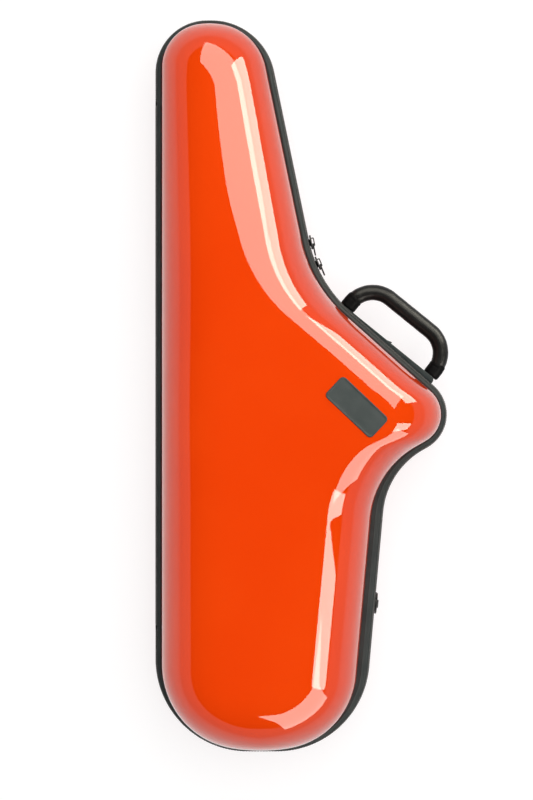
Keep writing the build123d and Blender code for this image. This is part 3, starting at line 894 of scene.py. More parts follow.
@dataclass
class CaseSpace:
    """Where the case's own axes lie in the frame, with the rule of its domed halves."""

    outline: Outline = field(default_factory=Outline)
    tape: float = 0.0012
    gap: float = 0.0004
    rim_top: float = 0.012
    side_run: float = 0.078
    end_run: float = 0.082
    flank_power: float = 2.5
    drop_start: float = 0.54
    drop_end: float = 0.98

    def __post_init__(self) -> None:
        """Read the axes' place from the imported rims."""
        low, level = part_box("lid_rim")[0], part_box("base_rim")[1].z
        flanges = self.outline.flanges
        self.origin = Vector((
            low.x + flanges[-1] - self.tape, low.y + flanges[self.outline.bow_side] - self.tape,
            level + self.gap,
        ))

    def place(self, point: complex, level: float) -> Vector:
        """Frame point of a plan point at a level over the parting plane."""
        return self.origin + Vector((point.real, point.imag, level))

    def crossings(self, points: Sequence[complex], y: float) -> Pair:
        """Lowest and highest X where a closed outline crosses a line of constant Y."""
        low, high = math.inf, -math.inf
        last = points[-1]
        for here in points:
            if (last.imag - y) * (here.imag - y) <= 0 and last.imag != here.imag:
                x = between(last, here, (y - last.imag) / (here.imag - last.imag)).real
                low, high = min(low, x), max(high, x)
            last = here
        return low, high

    def flank(self, distance: float, run: float) -> float:
        """Rise from 0 at an edge to 1 at its run."""
        short = min(1.0, max(0.0, 1 - distance / run))
        return (1 - short ** self.flank_power) ** (1 / self.flank_power)

    def neck_fall(self, y: float) -> float:
        """Smooth share of the crown's fall towards the neck end."""
        way = (y / self.outline.length - self.drop_start) / (self.drop_end - self.drop_start)
        way = min(1.0, max(0.0, way))
        return way * way * (3 - 2 * way)

    def banded(
        self, name: str, rings: tuple[Sequence[complex], Sequence[complex]],
        profile: Sequence[Pair], closed: bool, side: int,
    ) -> Piece:
        """Sweep a section that spans from one plan line to another.

        Args:
            name: the object's name.
            rings: the two plan lines, with as many points each.
            profile: the section, as share of the way from the first line and level in millimetres.
            closed: whether the lines are rings.
            side: 1 above the parting plane, -1 below it.

        Returns:
            The new object.
        """
        stations = []
        for a, b in zip(*rings):
            stations.append([self.place(between(a, b, out), up * MM * side) for out, up in profile])
        return swept(name, stations, closed)


@dataclass
class Dome:
    """Domed surface over the outline less an inset, from a foot level to a crown less a sink."""

    space: CaseSpace
    crown: Crown
    inset: float
    sink: float
    foot: float
    plan_step: float = 0.0015

    def __post_init__(self) -> None:
        """Work out the inset outline once."""
        hair = 1e-9
        outline = self.space.outline
        self.points = outline.ring(outline.even(-self.inset), self.plan_step)
        self.low = min(point.imag for point in self.points) + hair
        self.high = max(point.imag for point in self.points) - hair

    def level(self, x: float, y: float, left: float, right: float) -> float:
        """Height over the parting plane at a plan point in a row between two edges."""
        side_run, end_run = self.space.side_run - self.inset, self.space.end_run - self.inset
        top = self.crown.depth - self.sink - self.crown.neck_drop * self.space.neck_fall(y)
        ends = self.space.flank(y - self.low, end_run) * self.space.flank(self.high - y, end_run)
        sides = self.space.flank(x - left, side_run) * self.space.flank(right - x, side_run)
        share = (x - left) / (right - left) if right > left else 0.5
        bow = 1 - self.crown.bow * (2 * share - 1) ** 2
        return self.foot + (top - self.foot) * ends * sides * bow

    def over(self, point: complex) -> float:
        """Height over the parting plane at any plan point inside the outline."""
        edges = self.space.crossings(self.points, point.imag)
        return self.level(point.real, point.imag, *edges)

    def grid(self, rows: int, columns: int) -> list[list[Vector]]:
        """Points of the surface in rows of constant Y, closer together towards the edges.

        Args:
            rows: number of rows.
            columns: number of points in a row.

        Returns:
            The rows of points, in metres on the case's own axes.
        """
        made = []
        middle, reach = (self.low + self.high) / 2, (self.high - self.low) / 2
        for r in range(rows):
            y = middle - reach * math.cos(math.pi * r / (rows - 1))
            y = min(self.high, max(self.low, y))
            left, right = self.space.crossings(self.points, y)
            row = []
            for c in range(columns):
                x = left + (right - left) * (1 - math.cos(math.pi * c / (columns - 1))) / 2
                row.append(Vector((x, y, self.level(x, y, left, right))))
            made.append(row)
        return made


def grid_border(rows: int, columns: int) -> list[int]:
    """Numbers of a grid's border points, once round."""
    low = list(range(columns))
    right = [r * columns + columns - 1 for r in range(1, rows)]
    top = [(rows - 1) * columns + c for c in range(columns - 2, -1, -1)]
    left = [r * columns for r in range(rows - 2, 0, -1)]
    return low + right + top + left


# ------------------------------------------------------------ each half's own


@dataclass
class HalfPart:
    """Sub-assembly that the lid and the base have once each."""

    space: CaseSpace
    half: Half
    crown: Crown

    def place(self, point: complex, level: float) -> Vector:
        """Frame point at a level in millimetres, on this half's side of the parting plane."""
        return self.space.place(point, level * MM * self.half.value)

    def named(self, word: str) -> str:
        """Name of a piece or node of this half."""
        return f"{self.half.label}_{word}"

    def stands_for(self, piece: Piece, node: str, finish: Finish) -> None:
        """Let a piece replace a CAD node of this half, and dress it."""
        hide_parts(self.named(node))
        dress(piece, finish, self.half.body)

    def layered(
        self, word: str, outer: list[list[Vector]], inner: list[list[Vector]],
        lips: Sequence[Sequence[Vector]],
    ) -> Piece:
        """Closed shell between two grids, whose borders are joined through lips.

        Args:
            word: the object's name without the half's.
            outer: the grid of the outer surface.
            inner: the grid of the inner surface.
            lips: border loops between the outer grid's border and the inner grid's.

        Returns:
            The new object.
        """
        rows, columns = len(outer), len(outer[0])
        points = [point for row in [*outer, *inner] for point in row]
        border = grid_border(rows, columns)
        shift, size = rows * columns, len(border)
        faces = []
        for r in range(rows - 1):
            for c in range(columns - 1):
                a = r * columns + c
                quad = (a, a + 1, a + columns + 1, a + columns)
                faces += [quad, tuple(shift + k for k in reversed(quad))]
        loops = [border]
        for lip in lips:
            loops.append(list(range(len(points), len(points) + size)))
            points += lip
        loops.append([shift + k for k in border])
        for here, ahead in zip(loops, loops[1:]):
            for k in range(size):
                n = (k + 1) % size
                faces.append((here[n], here[k], ahead[k], ahead[n]))
        side = Vector((1.0, 1.0, self.half.value))
        return solid_piece(self.named(word), [self.space.origin + p * side for p in points], faces)


@dataclass
class ShellMoulding(HalfPart):
    """One glossy moulding, whose edge stands in the rim's rebate."""

    wall: float = 0.003
    foot: float = 0.0112
    rows: int = 380
    columns: int = 72

    def build(self) -> None:
        """Make the moulding."""
        outer = Dome(self.space, self.crown, 0.0, 0.0, self.space.rim_top)
        inner = Dome(self.space, self.crown, self.wall, self.wall, self.foot)
        grids = [dome.grid(self.rows, self.columns) for dome in (outer, inner)]
        flat = [point for row in grids[0] for point in row]
        border = grid_border(self.rows, self.columns)
        skirt = [Vector((flat[k].x, flat[k].y, self.foot)) for k in border]
        piece = self.layered("shell_moulding", *grids, [skirt])
        piece.data.set_sharp_from_angle(angle=math.radians(60))
        self.stands_for(piece, "shell", SHELL)


@dataclass
class EdgeBand(HalfPart):
    """Rim, zip tape, its stitches and half of the chain, all swept round the edge of one half."""

    rim_inside: float = 0.008
    tooth_step: float = 0.0026
    stitch_step: float = 0.0033
    stitch_room: float = 0.0073

    def rim_profile(self, width: float) -> list[Pair]:
        """The rim's section for a visible width: distance out from the shell and level, in mm."""
        top, corner, start = 12.0, 2.4, 1.05
        keep = min(corner, 0.45 * width)
        end = width - keep
        run = end - start
        profile = [
            (-8.0, 0.8), (-8.0, 11.3), (-7.75, 11.8), (-7.3, top), (-3.3, top), (-3.1, 11.9),
            (-3.05, 11.0), (0.12, 11.0), (0.5, 11.02), (0.72, 11.3), (0.86, 11.8),
        ]
        steps = 12
        for k in range(steps + 1):
            share = k / steps
            crown = 0.3 * min(1.0, run / 6) * 4 * share * (1 - share)
            bead = 0.42 * min(1.0, run / 4) * math.exp(-((share - 0.5) * run / 0.75) ** 2)
            profile.append((start + run * share, top + crown + bead))
        for k in range(1, 7):
            angle = math.pi / 2 * k / 6
            profile.append((end + keep * math.sin(angle), top - corner * (1 - math.cos(angle))))
        edge = [(width, 1.0), (width - 0.18, 0.56), (width - 0.6, 0.4), (-7.4, 0.4), (-7.85, 0.5)]
        return profile + edge

    def rim(self) -> None:
        """Moulded band that a shell stands on, with a groove beside the shell and a bead along it."""
        outline = self.space.outline
        inner = outline.ring(outline.even(-self.rim_inside))
        edge = outline.ring(outline.even(0.0))
        outer = outline.ring(outline.on_flange(-self.space.tape))
        stations = []
        for a, b, c in zip(inner, edge, outer):
            width = abs(c - b) / MM
            stations.append([
                self.place(
                    between(b, a, -out * MM / self.rim_inside) if out < 0 else between(b, c, out / width),
                    level,
                ) for out, level in self.rim_profile(width)
            ])
        self.stands_for(swept(self.named("edge_band"), stations, True, 40.0), "rim", RIM)

    def zip_tape(self) -> None:
        """Woven tape that is bonded to the rim and carries half of the chain."""
        outline = self.space.outline
        rings = tuple(outline.zip_way(outline.on_flange(out)) for out in (-self.space.tape, 0.0))
        profile = (
            (0.0, 2.3), (0.7, 2.3), (0.86, 2.6), (0.9, 3.4), (0.96, 4.4), (0.72, 5.2), (0.96, 6.0),
            (1.0, 8.2), (0.9, 9.7), (0.62, 10.3), (0.2, 10.5), (0.0, 10.4),
        )
        piece = self.space.banded(
            self.named("zip_tape_woven"), rings, profile, False, self.half.value
        )
        self.stands_for(piece, "zip_tape", TAPE)

    def stitches(self) -> None:
        """Two rows of stitches along the tape and two along the spine tape."""
        outline = self.space.outline
        ways = []
        for level, proud in ((5.2, -0.0002), (9.0, 0.00002)):
            plan = outline.zip_way(outline.on_flange(proud))
            ways.append([self.place(point, level) for point in plan])
        low, high = outline.zip_ends()
        spine = -outline.flanges[-1] - 0.00034
        for level in (8.9, 6.9):
            ends = (low + self.stitch_room, high - self.stitch_room)
            ways.append([self.place(complex(spine, y), level) for y in ends])
        row = Row(self.named("tape_stitches"), ways, self.stitch_step, THREAD, swing=0.06)
        row.stitch(0.0023, 0.00028, self.half.body)

    def tooth(self) -> Piece:
        """One turn of the zip's coil: a rounded loop that stands out from the tape's edge.

        Returns:
            The tooth on its own axes, X along the zip and Y outward.
        """
        path = (
            -1.1 + 2.35j, 0.2 + 2.38j, 1.0 + 2.05j, 1.32 + 1.3j, 1.3 + 0.5j, 1.0 - 0.12j,
            0.3 - 0.42j, -0.6 - 0.3j,
        )
        radii = (0.42, 0.45, 0.47, 0.48, 0.5, 0.5, 0.46, 0.4)
        sides, broad = 6, 1.25
        stations = []
        for k, (spot, radius) in enumerate(zip(path, radii)):
            way = path[min(k + 1, len(path) - 1)] - path[max(k - 1, 0)]
            ring = []
            for s in range(sides):
                angle = TURN * s / sides
                place = spot - way / abs(way) * 1j * math.sin(angle) * radius
                wide = math.cos(angle) * radius * broad
                ring.append(Vector((wide, place.real, place.imag * self.half.value)) * MM)
            stations.append(ring)
        return swept("tooth", stations, False, 80.0)

    def teeth(self) -> None:
        """Half of the chain: a coil whose turns stand between the other half's."""
        outline = self.space.outline
        plan = outline.zip_way(outline.on_flange(0.0))
        if self.half is Half.BASE:
            shift = self.tooth_step / 2 * 1j
            plan = [plan[0] + shift, *plan[1:-1], plan[-1] + shift]
        way = [self.place(point, 0.0) for point in plan]
        coil = Row(self.named("zip_coil"), [way], self.tooth_step, COIL).make(self.tooth())
        self.stands_for(coil, "zip_teeth", COIL)

    def build(self) -> None:
        """Make everything along the edge."""
        self.rim()
        self.zip_tape()
        self.stitches()
        self.teeth()


@dataclass
class Padding(HalfPart):
    """Foam and plush lining inside one half. Insets, sinks and levels are in millimetres."""

    rows: int = 190
    columns: int = 60
    swell_height: float = 0.0006
    stitch_inset: float = 0.02125

    def dome(self, inset: float, sink: float, foot: float) -> list[list[Vector]]:
        """Grid of one layer's surface."""
        dome = Dome(self.space, self.crown, inset * MM, sink * MM, foot * MM)
        return dome.grid(self.rows, self.columns)

    def lip(self, inset: float, level: float, swell: float = 0.0) -> list[Vector]:
        """Border loop at an inset and a level, with a slow swell.

        Args:
            inset: how far inside the outline it runs.
            level: its height over the parting plane.
            swell: most that it rises or falls.

        Returns:
            The loop's points.
        """
        grid = self.dome(inset, 0.0, level)
        points = []
        for k in grid_border(self.rows, self.columns):
            x, y, _ = grid[k // self.columns][k % self.columns]
            wave = swell * (math.sin(x * 47.0 + y * 29.0) + math.sin(y * 71.0 + 2.0)) / 2
            points.append(Vector((x, y, (level + wave) * MM)))
        return points

    def foam(self) -> None:
        """Foam layer with a rounded edge."""
        lips = [self.lip(*edge) for edge in ((15.4, 2.9), (16.6, 2.3), (24.5, 2.3))]
        piece = self.layered(
            "foam_layer", self.dome(15.2, 3.9, 4.0), self.dome(26.0, 16.4, 4.5), lips
        )
        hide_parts(self.named("foam"))
        dress(piece, FOAM, self.half.body)

    def lining(self) -> None:
        """Plush skin over the foam, rolled over its edge and tucked in behind it."""
        cavity = self.dome(28.4, 18.9, 5.0)
        for row in cavity:
            for point in row:
                point.z += self.swell(point)
        edges = (
            (26.6, 3.4), (25.2, 2.1), (12.6, 2.1), (11.4, 2.8), (11.1, 7.0), (10.3, 7.0), (10.3, 2.9),
            (10.7, 1.7), (11.7, 0.95), (14.6, 0.75, 0.08), (20.9, 1.1, 0.10), (21.6, 1.1, 0.10),
            (24.6, 0.75, 0.08), (26.6, 1.0), (27.9, 2.4),
        )
        lips = [self.lip(*edge) for edge in edges]
        piece = self.layered("plush_lining", self.dome(27.1, 17.6, 5.4), cavity, lips)
        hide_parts(self.named("lining"))
        dress(piece, LINING, self.half.body)

    def swell(self, point: Vector) -> float:
        """Soft rise or fall of the cavity's surface at a point, as cloth over foam has it."""
        waves = math.sin(point.x * 52.0 + 0.7) * math.sin(point.y * 43.0) * 0.5
        waves += math.sin(point.x * 91.0 + point.y * 67.0) * 0.3
        return self.swell_height * waves * min(1.0, point.z / (self.crown.depth * 0.5))

    def edge_stitches(self) -> None:
        """Row of stitches round the lining's rolled edge."""
        outline = self.space.outline
        plan = outline.ring(outline.even(-self.stitch_inset))
        way = [self.place(point, 1.0) for point in plan]
        row = Row(self.named("lining_stitches"), [way], 0.0052, THREAD, True, 0.05)
        row.stitch(0.0034, 0.0003, self.half.body)

    def build(self) -> None:
        """Make the padding."""
        self.foam()
        self.lining()
        self.edge_stitches()


# ------------------------------------------------------- other sub-assemblies


@dataclass
class Spine:
    """Spine tape that hinges the lid, and the lip seal between the rims."""

    space: CaseSpace
    stop_room: float = 0.0053
    seal_inset: float = 0.008
    seal_width: float = 0.0016
    fold_reach: float = 0.0014

    def tape(self) -> None:
        """Woven tape folded along the spine."""
        low, high = self.space.outline.zip_ends()
        low, high = low + self.stop_room, high - self.stop_room
        spine = -self.space.outline.flanges[-1]
        levels = [10.5, 10.2, 9.4, 8.0, 6.5, 5.0, 3.6, 2.6, 2.0, 1.5]
        fold = [1.4 - 0.2 * k for k in range(15)]
        levels += fold + [-level for level in reversed(levels)]
        thick, turned_in = 1.5, 9.6
        outer, inner = [], []
        for level in levels:
            edge = max(0.0, (abs(level) - turned_in) / 0.9)
            bulge = 0.3 + 1.5 * math.exp(-(level / 2.4) ** 2) - 0.9 * edge
            back = thick - bulge if abs(level) < turned_in else 1.2
            outer.append(complex(spine - bulge * MM, level * MM))
            inner.append(complex(spine + back * MM, level * MM))
        profile = outer + inner[::-1]
        count = 120
        stations = []
        for k in range(count + 1):
            y = low + (high - low) * k / count
            wave = 0.00012 * math.sin(y * 61.0) + 0.00008 * math.sin(y * 147.0 + 1.0)
            station = []
            for index, spot in enumerate(profile):
                waves = index < len(outer) and 0.002 < abs(spot.imag) < 0.009 and 0 < k < count
                x = spot.real - (wave if waves else 0.0)
                station.append(self.space.place(complex(x, y), spot.imag))
            stations.append(station)
        piece = swept("spine_tape_folded", stations, False)
        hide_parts("lid_hinge_tape", "base_hinge_tape")
        piece.data.materials.append(TAPE.material())
        hinge = self.space.place(complex(spine, (low + high) / 2), 0.0)
        reach = UP * self.fold_reach
        hinge - reach
        hinge + reach
        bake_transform(piece)
        LOG.info("%s: %d faces across the hinge", piece.name, len(piece.data.polygons))

    def seal(self) -> None:
        """Soft lip inside the base's rim."""
        outline = self.space.outline
        insets = (self.seal_inset, self.seal_inset + self.seal_width)
        profile = (
            (0.02, -7.0), (0.02, -0.6), (0.2, -0.3), (0.22, 1.6), (0.3, 3.0), (0.45, 3.8), (0.62, 4.0),
            (0.8, 3.7), (0.92, 2.6), (1.0, 0.4), (0.8, -0.4), (0.98, -1.2), (0.98, -4.6), (0.8, -5.0),
            (0.98, -5.4), (0.98, -6.8), (0.9, -7.0),
        )
        rings = tuple(outline.ring(outline.even(-inset)) for inset in insets)
        piece = self.space.banded("rim_lip_seal", rings, profile, True, Half.LID.value)
        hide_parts("rim_seal")
        dress(piece, SEAL, Body.BASE)


@dataclass
class SupportPads:
    """Stuffed pads that carry the saxophone: swollen by simulation, seamed and piped after it."""

    nodes: tuple[str, ...] = (
        "body_cradle_lower", "body_cradle_upper", "neck_pad", "bell_pad", "bow_pad",
    )
    side_share: float = 0.955
    foot_share: float = 0.93
    height_share: float = 0.965
    voxel: float = 0.0028
    cap: float = 0.003
    frames: int = 20
    seam_share: float = 0.42
    seam_depth: float = 0.0009
    seam_width: float = 0.0016
    cord_radius: float = 0.00085

    def start(self, node: str) -> Piece:
        """Slightly smaller, evenly meshed copy of a pad's solid, ready to swell.

        Args:
            node: the CAD node.

        Returns:
            The new object.
        """
        piece = merged_copy(node, f"{node}_stuffed")
        low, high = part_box(node)
        middle = (low + high) / 2
        for vertex in piece.data.vertices:
            spot = vertex.co
            share = self.side_share if spot.z > low.z + 0.001 else self.foot_share
            spot.x = middle.x + (spot.x - middle.x) * share
            spot.y = middle.y + (spot.y - middle.y) * share
            spot.z = low.z + (spot.z - low.z) * self.height_share
        remesh = piece.modifiers.new("even_mesh", "REMESH")
        remesh.mode = "VOXEL"
        remesh.voxel_size = self.voxel
        applied(piece)
        pinned = piece.vertex_groups.new(name="sewn_down")
        resting = [v.index for v in piece.data.vertices if v.co.z < low.z + 0.0015]
        pinned.add(resting, 1.0, "REPLACE")
        return piece

    def swell(self, pieces: Sequence[Piece]) -> None:
        """Blow the pads up a little by cloth simulation, with each point's way capped."""
        scene = bpy.context.scene
        stuffing = {
            "quality": 4, "mass": 0.3, "tension_stiffness": 14.0, "compression_stiffness": 10.0,
            "bending_stiffness": 0.6, "use_pressure": True, "uniform_pressure_force": 4.0,
            "vertex_group_mass": "sewn_down",
        }
        for piece in pieces:
            cloth = piece.modifiers.new("stuffing", "CLOTH")
            for key, value in stuffing.items():
                setattr(cloth.settings, key, value)
            cloth.settings.effector_weights.gravity = 0.0
            cloth.point_cache.frame_start = 1
            cloth.point_cache.frame_end = self.frames
        for number in range(1, self.frames + 1):
            scene.frame_set(number)
        shown = bpy.context.evaluated_depsgraph_get()
        for piece in pieces:
            swollen = [v.co.copy() for v in piece.evaluated_get(shown).data.vertices]
            for vertex, ahead in zip(piece.data.vertices, swollen):
                way = ahead - vertex.co
                if way.length > self.cap:
                    way *= self.cap / way.length
                vertex.co += way
            piece.modifiers.clear()
        scene.frame_set(1)

    def finish(self, piece: Piece, node: str) -> None:
        """Smooth a pad, hold it in its solid's space, draw its seam in and dress it.

        Args:
            piece: the swollen pad.
            node: the CAD node that it stands for.
        """
        low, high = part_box(node)
        smooth = piece.modifiers.new("soft", "SMOOTH")
        smooth.factor, smooth.iterations = 0.5, 3
        finer = piece.modifiers.new("finer", "SUBSURF")
        finer.levels = finer.render_levels = 1
        applied(piece)
        middle = (low + high) / 2
        middle.z = low.z + (high.z - low.z) * self.seam_share
        for vertex in piece.data.vertices:
            out = vertex.co - middle
            draw = self.seam_depth * math.exp(-(out.z / self.seam_width) ** 2)
            out.z = 0.0
            if out.length > 0.008:
                vertex.co -= out.normalized() * draw
            for axis in range(3):
                vertex.co[axis] = min(high[axis], max(low[axis], vertex.co[axis]))
        piece.data.shade_smooth()
        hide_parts(node)
        dress(piece, VELOUR, Body.BASE)
        self.piping(piece, node, middle)

    def piping(self, piece: Piece, node: str, middle: Vector) -> None:
        """Corded seam round a pad, laid where rays towards its middle meet its side.

        Args:
            piece: the finished pad.
            node: the CAD node that it stands for.
            middle: middle of the pad at the seam's level.
        """
        tree = BVHTree.FromPolygons(
            [v.co for v in piece.data.vertices], [list(p.vertices) for p in piece.data.polygons]
        )
        loop, count, far, sunk, sides = [], 110, 0.12, 0.0001, 8
        for k in range(count):
            ray = Vector((math.cos(TURN * k / count), math.sin(TURN * k / count), 0.0))
            hit = tree.ray_cast(middle + ray * far, -ray, far)[0]
            if hit is not None:
                loop.append(hit - ray * sunk)
        if len(loop) < count // 2:
            return
        for _ in range(2):
            after = loop[1:] + loop[:1]
            loop = [(loop[k - 1] + loop[k] * 2 + after[k]) / 4 for k in range(len(loop))]
        stations = []
        for k, point in enumerate(loop):
            side = (loop[(k + 1) % len(loop)] - loop[k - 1]).normalized().cross(UP)
            angles = (TURN * s / sides for s in range(sides))
            stations.append([
                point + (side * math.cos(a) + UP * math.sin(a)) * self.cord_radius for a in angles
            ])
        dress(swept(f"{node}_piping", stations, True, 80.0), VELOUR, Body.BASE)

    def build(self) -> None:
        """Make every pad."""
        pieces = [self.start(node) for node in self.nodes]
        self.swell(pieces)
        for piece, node in zip(pieces, self.nodes):
            self.finish(piece, node)


@dataclass
class Handle:
    """Carrying handle: a padded grip bent at both ends, ferrules, strip, clip and inner fixings."""

    space: CaseSpace
    span: float = 0.123
    reach: float = 0.040
    bend: float = 0.032
    skew: float = 2.7
    standoff: float = 0.0122
    place_share: float = 0.475
    level: float = -0.0165
    grip_radius: float = 0.009
    furrow_depth: float = 0.028
    furrow_angle: float = 0.10
    ferrule_radius: float = 0.0095
    ferrule_turn: float = 14.0
    ferrule_foot: float = 0.0002

    def __post_init__(self) -> None:
        """Work out the handle's own axes: X along the grip, Y away from the case."""
        start, end = self.space.outline.corners()[2:4]
        way = (end - start) / abs(end - start)
        middle = start + way * complex(abs(end - start) * self.place_share, self.standoff)
        self.middle = self.space.place(middle, self.level)
        turned = way * cmath.rect(1.0, math.radians(self.skew))
        self.along = Vector((turned.real, turned.imag, 0.0))
        self.out = Vector((-turned.imag, turned.real, 0.0))

    def point(self, x: float, y: float) -> Vector:
        """Frame point on the handle's plane."""
        return self.middle + self.along * x + self.out * y

    def bend_point(self, sign: int, turn: float) -> tuple[Vector, Vector]:
        """Point and outward side on one bend, by its turn in degrees."""
        angle = math.radians(turn)
        x = sign * (self.span / 2 - self.bend + self.bend * math.cos(angle))
        y = self.reach - self.bend + self.bend * math.sin(angle)
        side = self.along * (sign * math.cos(angle)) + self.out * math.sin(angle)
        return self.point(x, y), side

    def tube(
        self, name: str, spine: Sequence[tuple[Vector, Vector]], radii: Sequence[float], sides: int,
        squeeze: Callable[[float], float] = lambda angle: 1.0,
    ) -> Piece:
        """Round bar along a bent way.

        Args:
            name: the object's name.
            spine: points of the way, each with the way's outward side.
            radii: radius at each point.
            sides: points round the section.
            squeeze: share of the radius by the angle round the section.

        Returns:
            The new object.
        """
        stations = []
        for (centre, side), radius in zip(spine, radii):
            ring = []
            for s in range(sides):
                angle = TURN * s / sides
                size = radius * squeeze(angle)
                ring.append(centre + side * math.cos(angle) * size + UP * math.sin(angle) * size)
            stations.append(ring)
        return swept(name, stations, False, 60.0)

    def furrow(self, angle: float) -> float:
        """Share of the grip's radius by the angle: less along the sewn inner side."""
        away = angle - math.pi
        return 1.0 - self.furrow_depth * math.exp(-(away / self.furrow_angle) ** 2)

    def grip(self) -> None:
        """Soft grip with a sewn seam on its inner side."""
        steps, lap, quarter, ease = 24, 2.0, 90.0, 3.0
        first = self.ferrule_turn - lap
        turns = [first + (quarter - first) * k / steps for k in range(steps + 1)]
        half = self.span / 2 - self.bend
        spine = [self.bend_point(-1, turn) for turn in turns]
        for k in range(1, steps):
            spine.append((self.point(-half + 2 * half * k / steps, self.reach), self.out))
        spine += [self.bend_point(1, turn) for turn in reversed(turns)]
        last = len(spine) - 1
        radii = []
        for k in range(len(spine)):
            inset = min(1.0, min(k, last - k) / ease)
            ripple = 0.00006 * math.sin(k * 0.9) + 0.00004 * math.sin(k * 2.3)
            radii.append(self.grip_radius * (0.93 + 0.07 * math.sqrt(inset)) + ripple)
        piece = self.tube("handle_soft_grip", spine, radii, 48, self.furrow)
        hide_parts("handle_grip")
        dress(piece, GRIP, Body.BASE)
        inner = self.grip_radius * (1 - self.furrow_depth) - 0.00005
        way = [centre - side * inner for centre, side in spine[3:-3]]
        row = Row("handle_grip_stitches", [way], 0.0036, THREAD, swing=0.05)
        row.stitch(0.0024, 0.00026, Body.BASE)

    def ferrule(self, sign: int, word: str) -> None:
        """Matte ferrule over one end of the grip, with a rolled lip and a narrowed foot.

        Args:
            sign: -1 for the neck's side, 1 for the bell's.
            word: the node's last word.
        """
        leg = self.reach - self.bend
        straight = (0.86, 0.96, 0.99, 1.0, 1.0, 1.0, 1.0, 1.0, 1.0)
        bent = (1.0, 1.0, 1.0, 0.985, 0.985, 1.0, 1.0, 1.0, 0.985, 0.94)
        spine = []
        for k in range(len(straight)):
            y = self.ferrule_foot + (leg - self.ferrule_foot) * k / (len(straight) - 1)
            spine.append((self.point(sign * self.span / 2, y), self.along * sign))
        for k in range(1, len(bent) + 1):
            spine.append(self.bend_point(sign, self.ferrule_turn * k / len(bent)))
        radii = [self.ferrule_radius * share for share in straight + bent]
        piece = self.tube(f"handle_ferrule_{word}_cap", spine, radii, 40)
        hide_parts(f"handle_ferrule_{word}")
        dress(piece, FERRULE, Body.BASE)

    def build(self) -> None:
        """Make the whole handle."""
        self.grip()
        self.ferrule(-1, "upper")
        self.ferrule(1, "lower")
        for node, width in (("handle_strip", 0.0011), ("strip_clip", 0.0005)):
            dress(bevelled_copy(node, f"{node}_moulding", width), STRIP, Body.BASE)
        dress_node("handle_core", CORE)
        dress_node("handle_bolts", STEEL)
        dress_node("handle_backing_plates", STEEL)


@dataclass
class NamePlate:
    """Rubber plate, curved to the lid, with a raised rounded border."""

    space: CaseSpace
    length: float = 0.069
    width: float = 0.030
    corner: float = 0.005
    least_corner: float = 0.0008
    corner_steps: int = 32
    tilt: float = -43.4
    place_shares: Pair = (0.679, 0.471)
    rises: tuple[Pair, ...] = (
        (0.25, 0.02), (0.0, 0.2), (0.0, 1.15), (0.12, 1.6), (0.4, 1.92), (0.85, 2.05), (1.35, 2.0),
        (1.8, 1.8), (2.15, 1.52), (2.6, 1.42), (4.0, 1.40),
    )
    shrinks: tuple[float, ...] = (0.8, 0.6, 0.4, 0.2, 0.03)
    field_swell: float = 0.05

    def loop(self, inset: float) -> list[complex]:
        """Rounded rectangle on the plate's own axes, less an inset in millimetres."""
        corner = max(self.least_corner, self.corner - inset * MM)
        middle = complex(self.length / 2 - inset * MM - corner, self.width / 2 - inset * MM - corner)
        centres = (middle, -middle.conjugate(), -middle, middle.conjugate())
        points = []
        for side, centre in enumerate(centres):
            for k in range(self.corner_steps):
                angle = math.pi / 2 * (side + k / (self.corner_steps - 1))
                points.append(centre + cmath.rect(corner, angle))
        return points

    def build(self) -> None:
        """Make the plate: its border and field from loops over the lid, then its flat back."""
        outline = self.space.outline
        under = Dome(self.space, LID_CROWN, 0.0, 0.0, self.space.rim_top)
        centre = complex(self.place_shares[0] * outline.width, self.place_shares[1] * outline.length)
        turn = cmath.rect(1.0, math.radians(self.tilt))
        back_inset, back_rise = self.rises[0]
        field_inset, field_rise = self.rises[-1]
        plans = [(self.loop(inset), rise) for inset, rise in self.rises]
        for share in self.shrinks:
            rise = field_rise + self.field_swell * (1 - share)
            plans.append(([spot * share for spot in self.loop(field_inset)], rise))
        front = len(plans)
        for share in self.shrinks:
            plans.append(([spot * share for spot in self.loop(back_inset)], back_rise))
        points = []
        for plan, rise in plans:
            for spot in plan:
                place = centre + spot * turn
                points.append(self.space.place(place, under.over(place) + rise * MM))
        count = 4 * self.corner_steps
        loops = [range(start, start + count) for start in range(0, len(points), count)]
        steps = [(k, (k + 1) % count) for k in range(count)]
        faces = []
        for here, ahead in zip(loops[:front - 1], loops[1:front]):
            faces += [(here[k], here[n], ahead[n], ahead[k]) for k, n in steps]
        behind = [loops[0], *loops[front:]]
        for here, ahead in zip(behind, behind[1:]):
            faces += [(here[n], here[k], ahead[k], ahead[n]) for k, n in steps]
        faces += [loops[front - 1], behind[-1][::-1]]
        piece = solid_piece("name_plate_rubber", points, faces)
        piece.data.set_sharp_from_angle(angle=math.radians(70))
        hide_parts("name_plate")
        dress(piece, PLATE, Body.LID)


@dataclass
class Hardware:
    """Zip sliders and pulls, end stops, strap tab, rivets and ring."""

    fittings: tuple[tuple[str, float, Body], ...] = (
        ("slider_upper", 0.00042, Body.SLIDER_UPPER), ("slider_lower", 0.00042, Body.SLIDER_LOWER),
        ("pull_upper", 0.00030, Body.PULL_UPPER), ("pull_lower", 0.00030, Body.PULL_LOWER),
        ("zip_end_stops", 0.00035, Body.BASE), ("strap_tab", 0.00035, Body.BASE),
        ("strap_rivets", 0.00035, Body.BASE),
    )

    def build(self) -> None:
        """Make every small fitting with rounded edges, and the ring as its wire is."""
        for node, width, body in self.fittings:
            dress(bevelled_copy(node, f"{node}_cast", width), BLACK_METAL, body)
        ring = merged_copy("strap_ring", "strap_ring_wire")
        ring.data.shade_smooth()
        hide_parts("strap_ring")
        dress(ring, BLACK_METAL, Body.RING)


# -------------------------------------------------------------------- studio


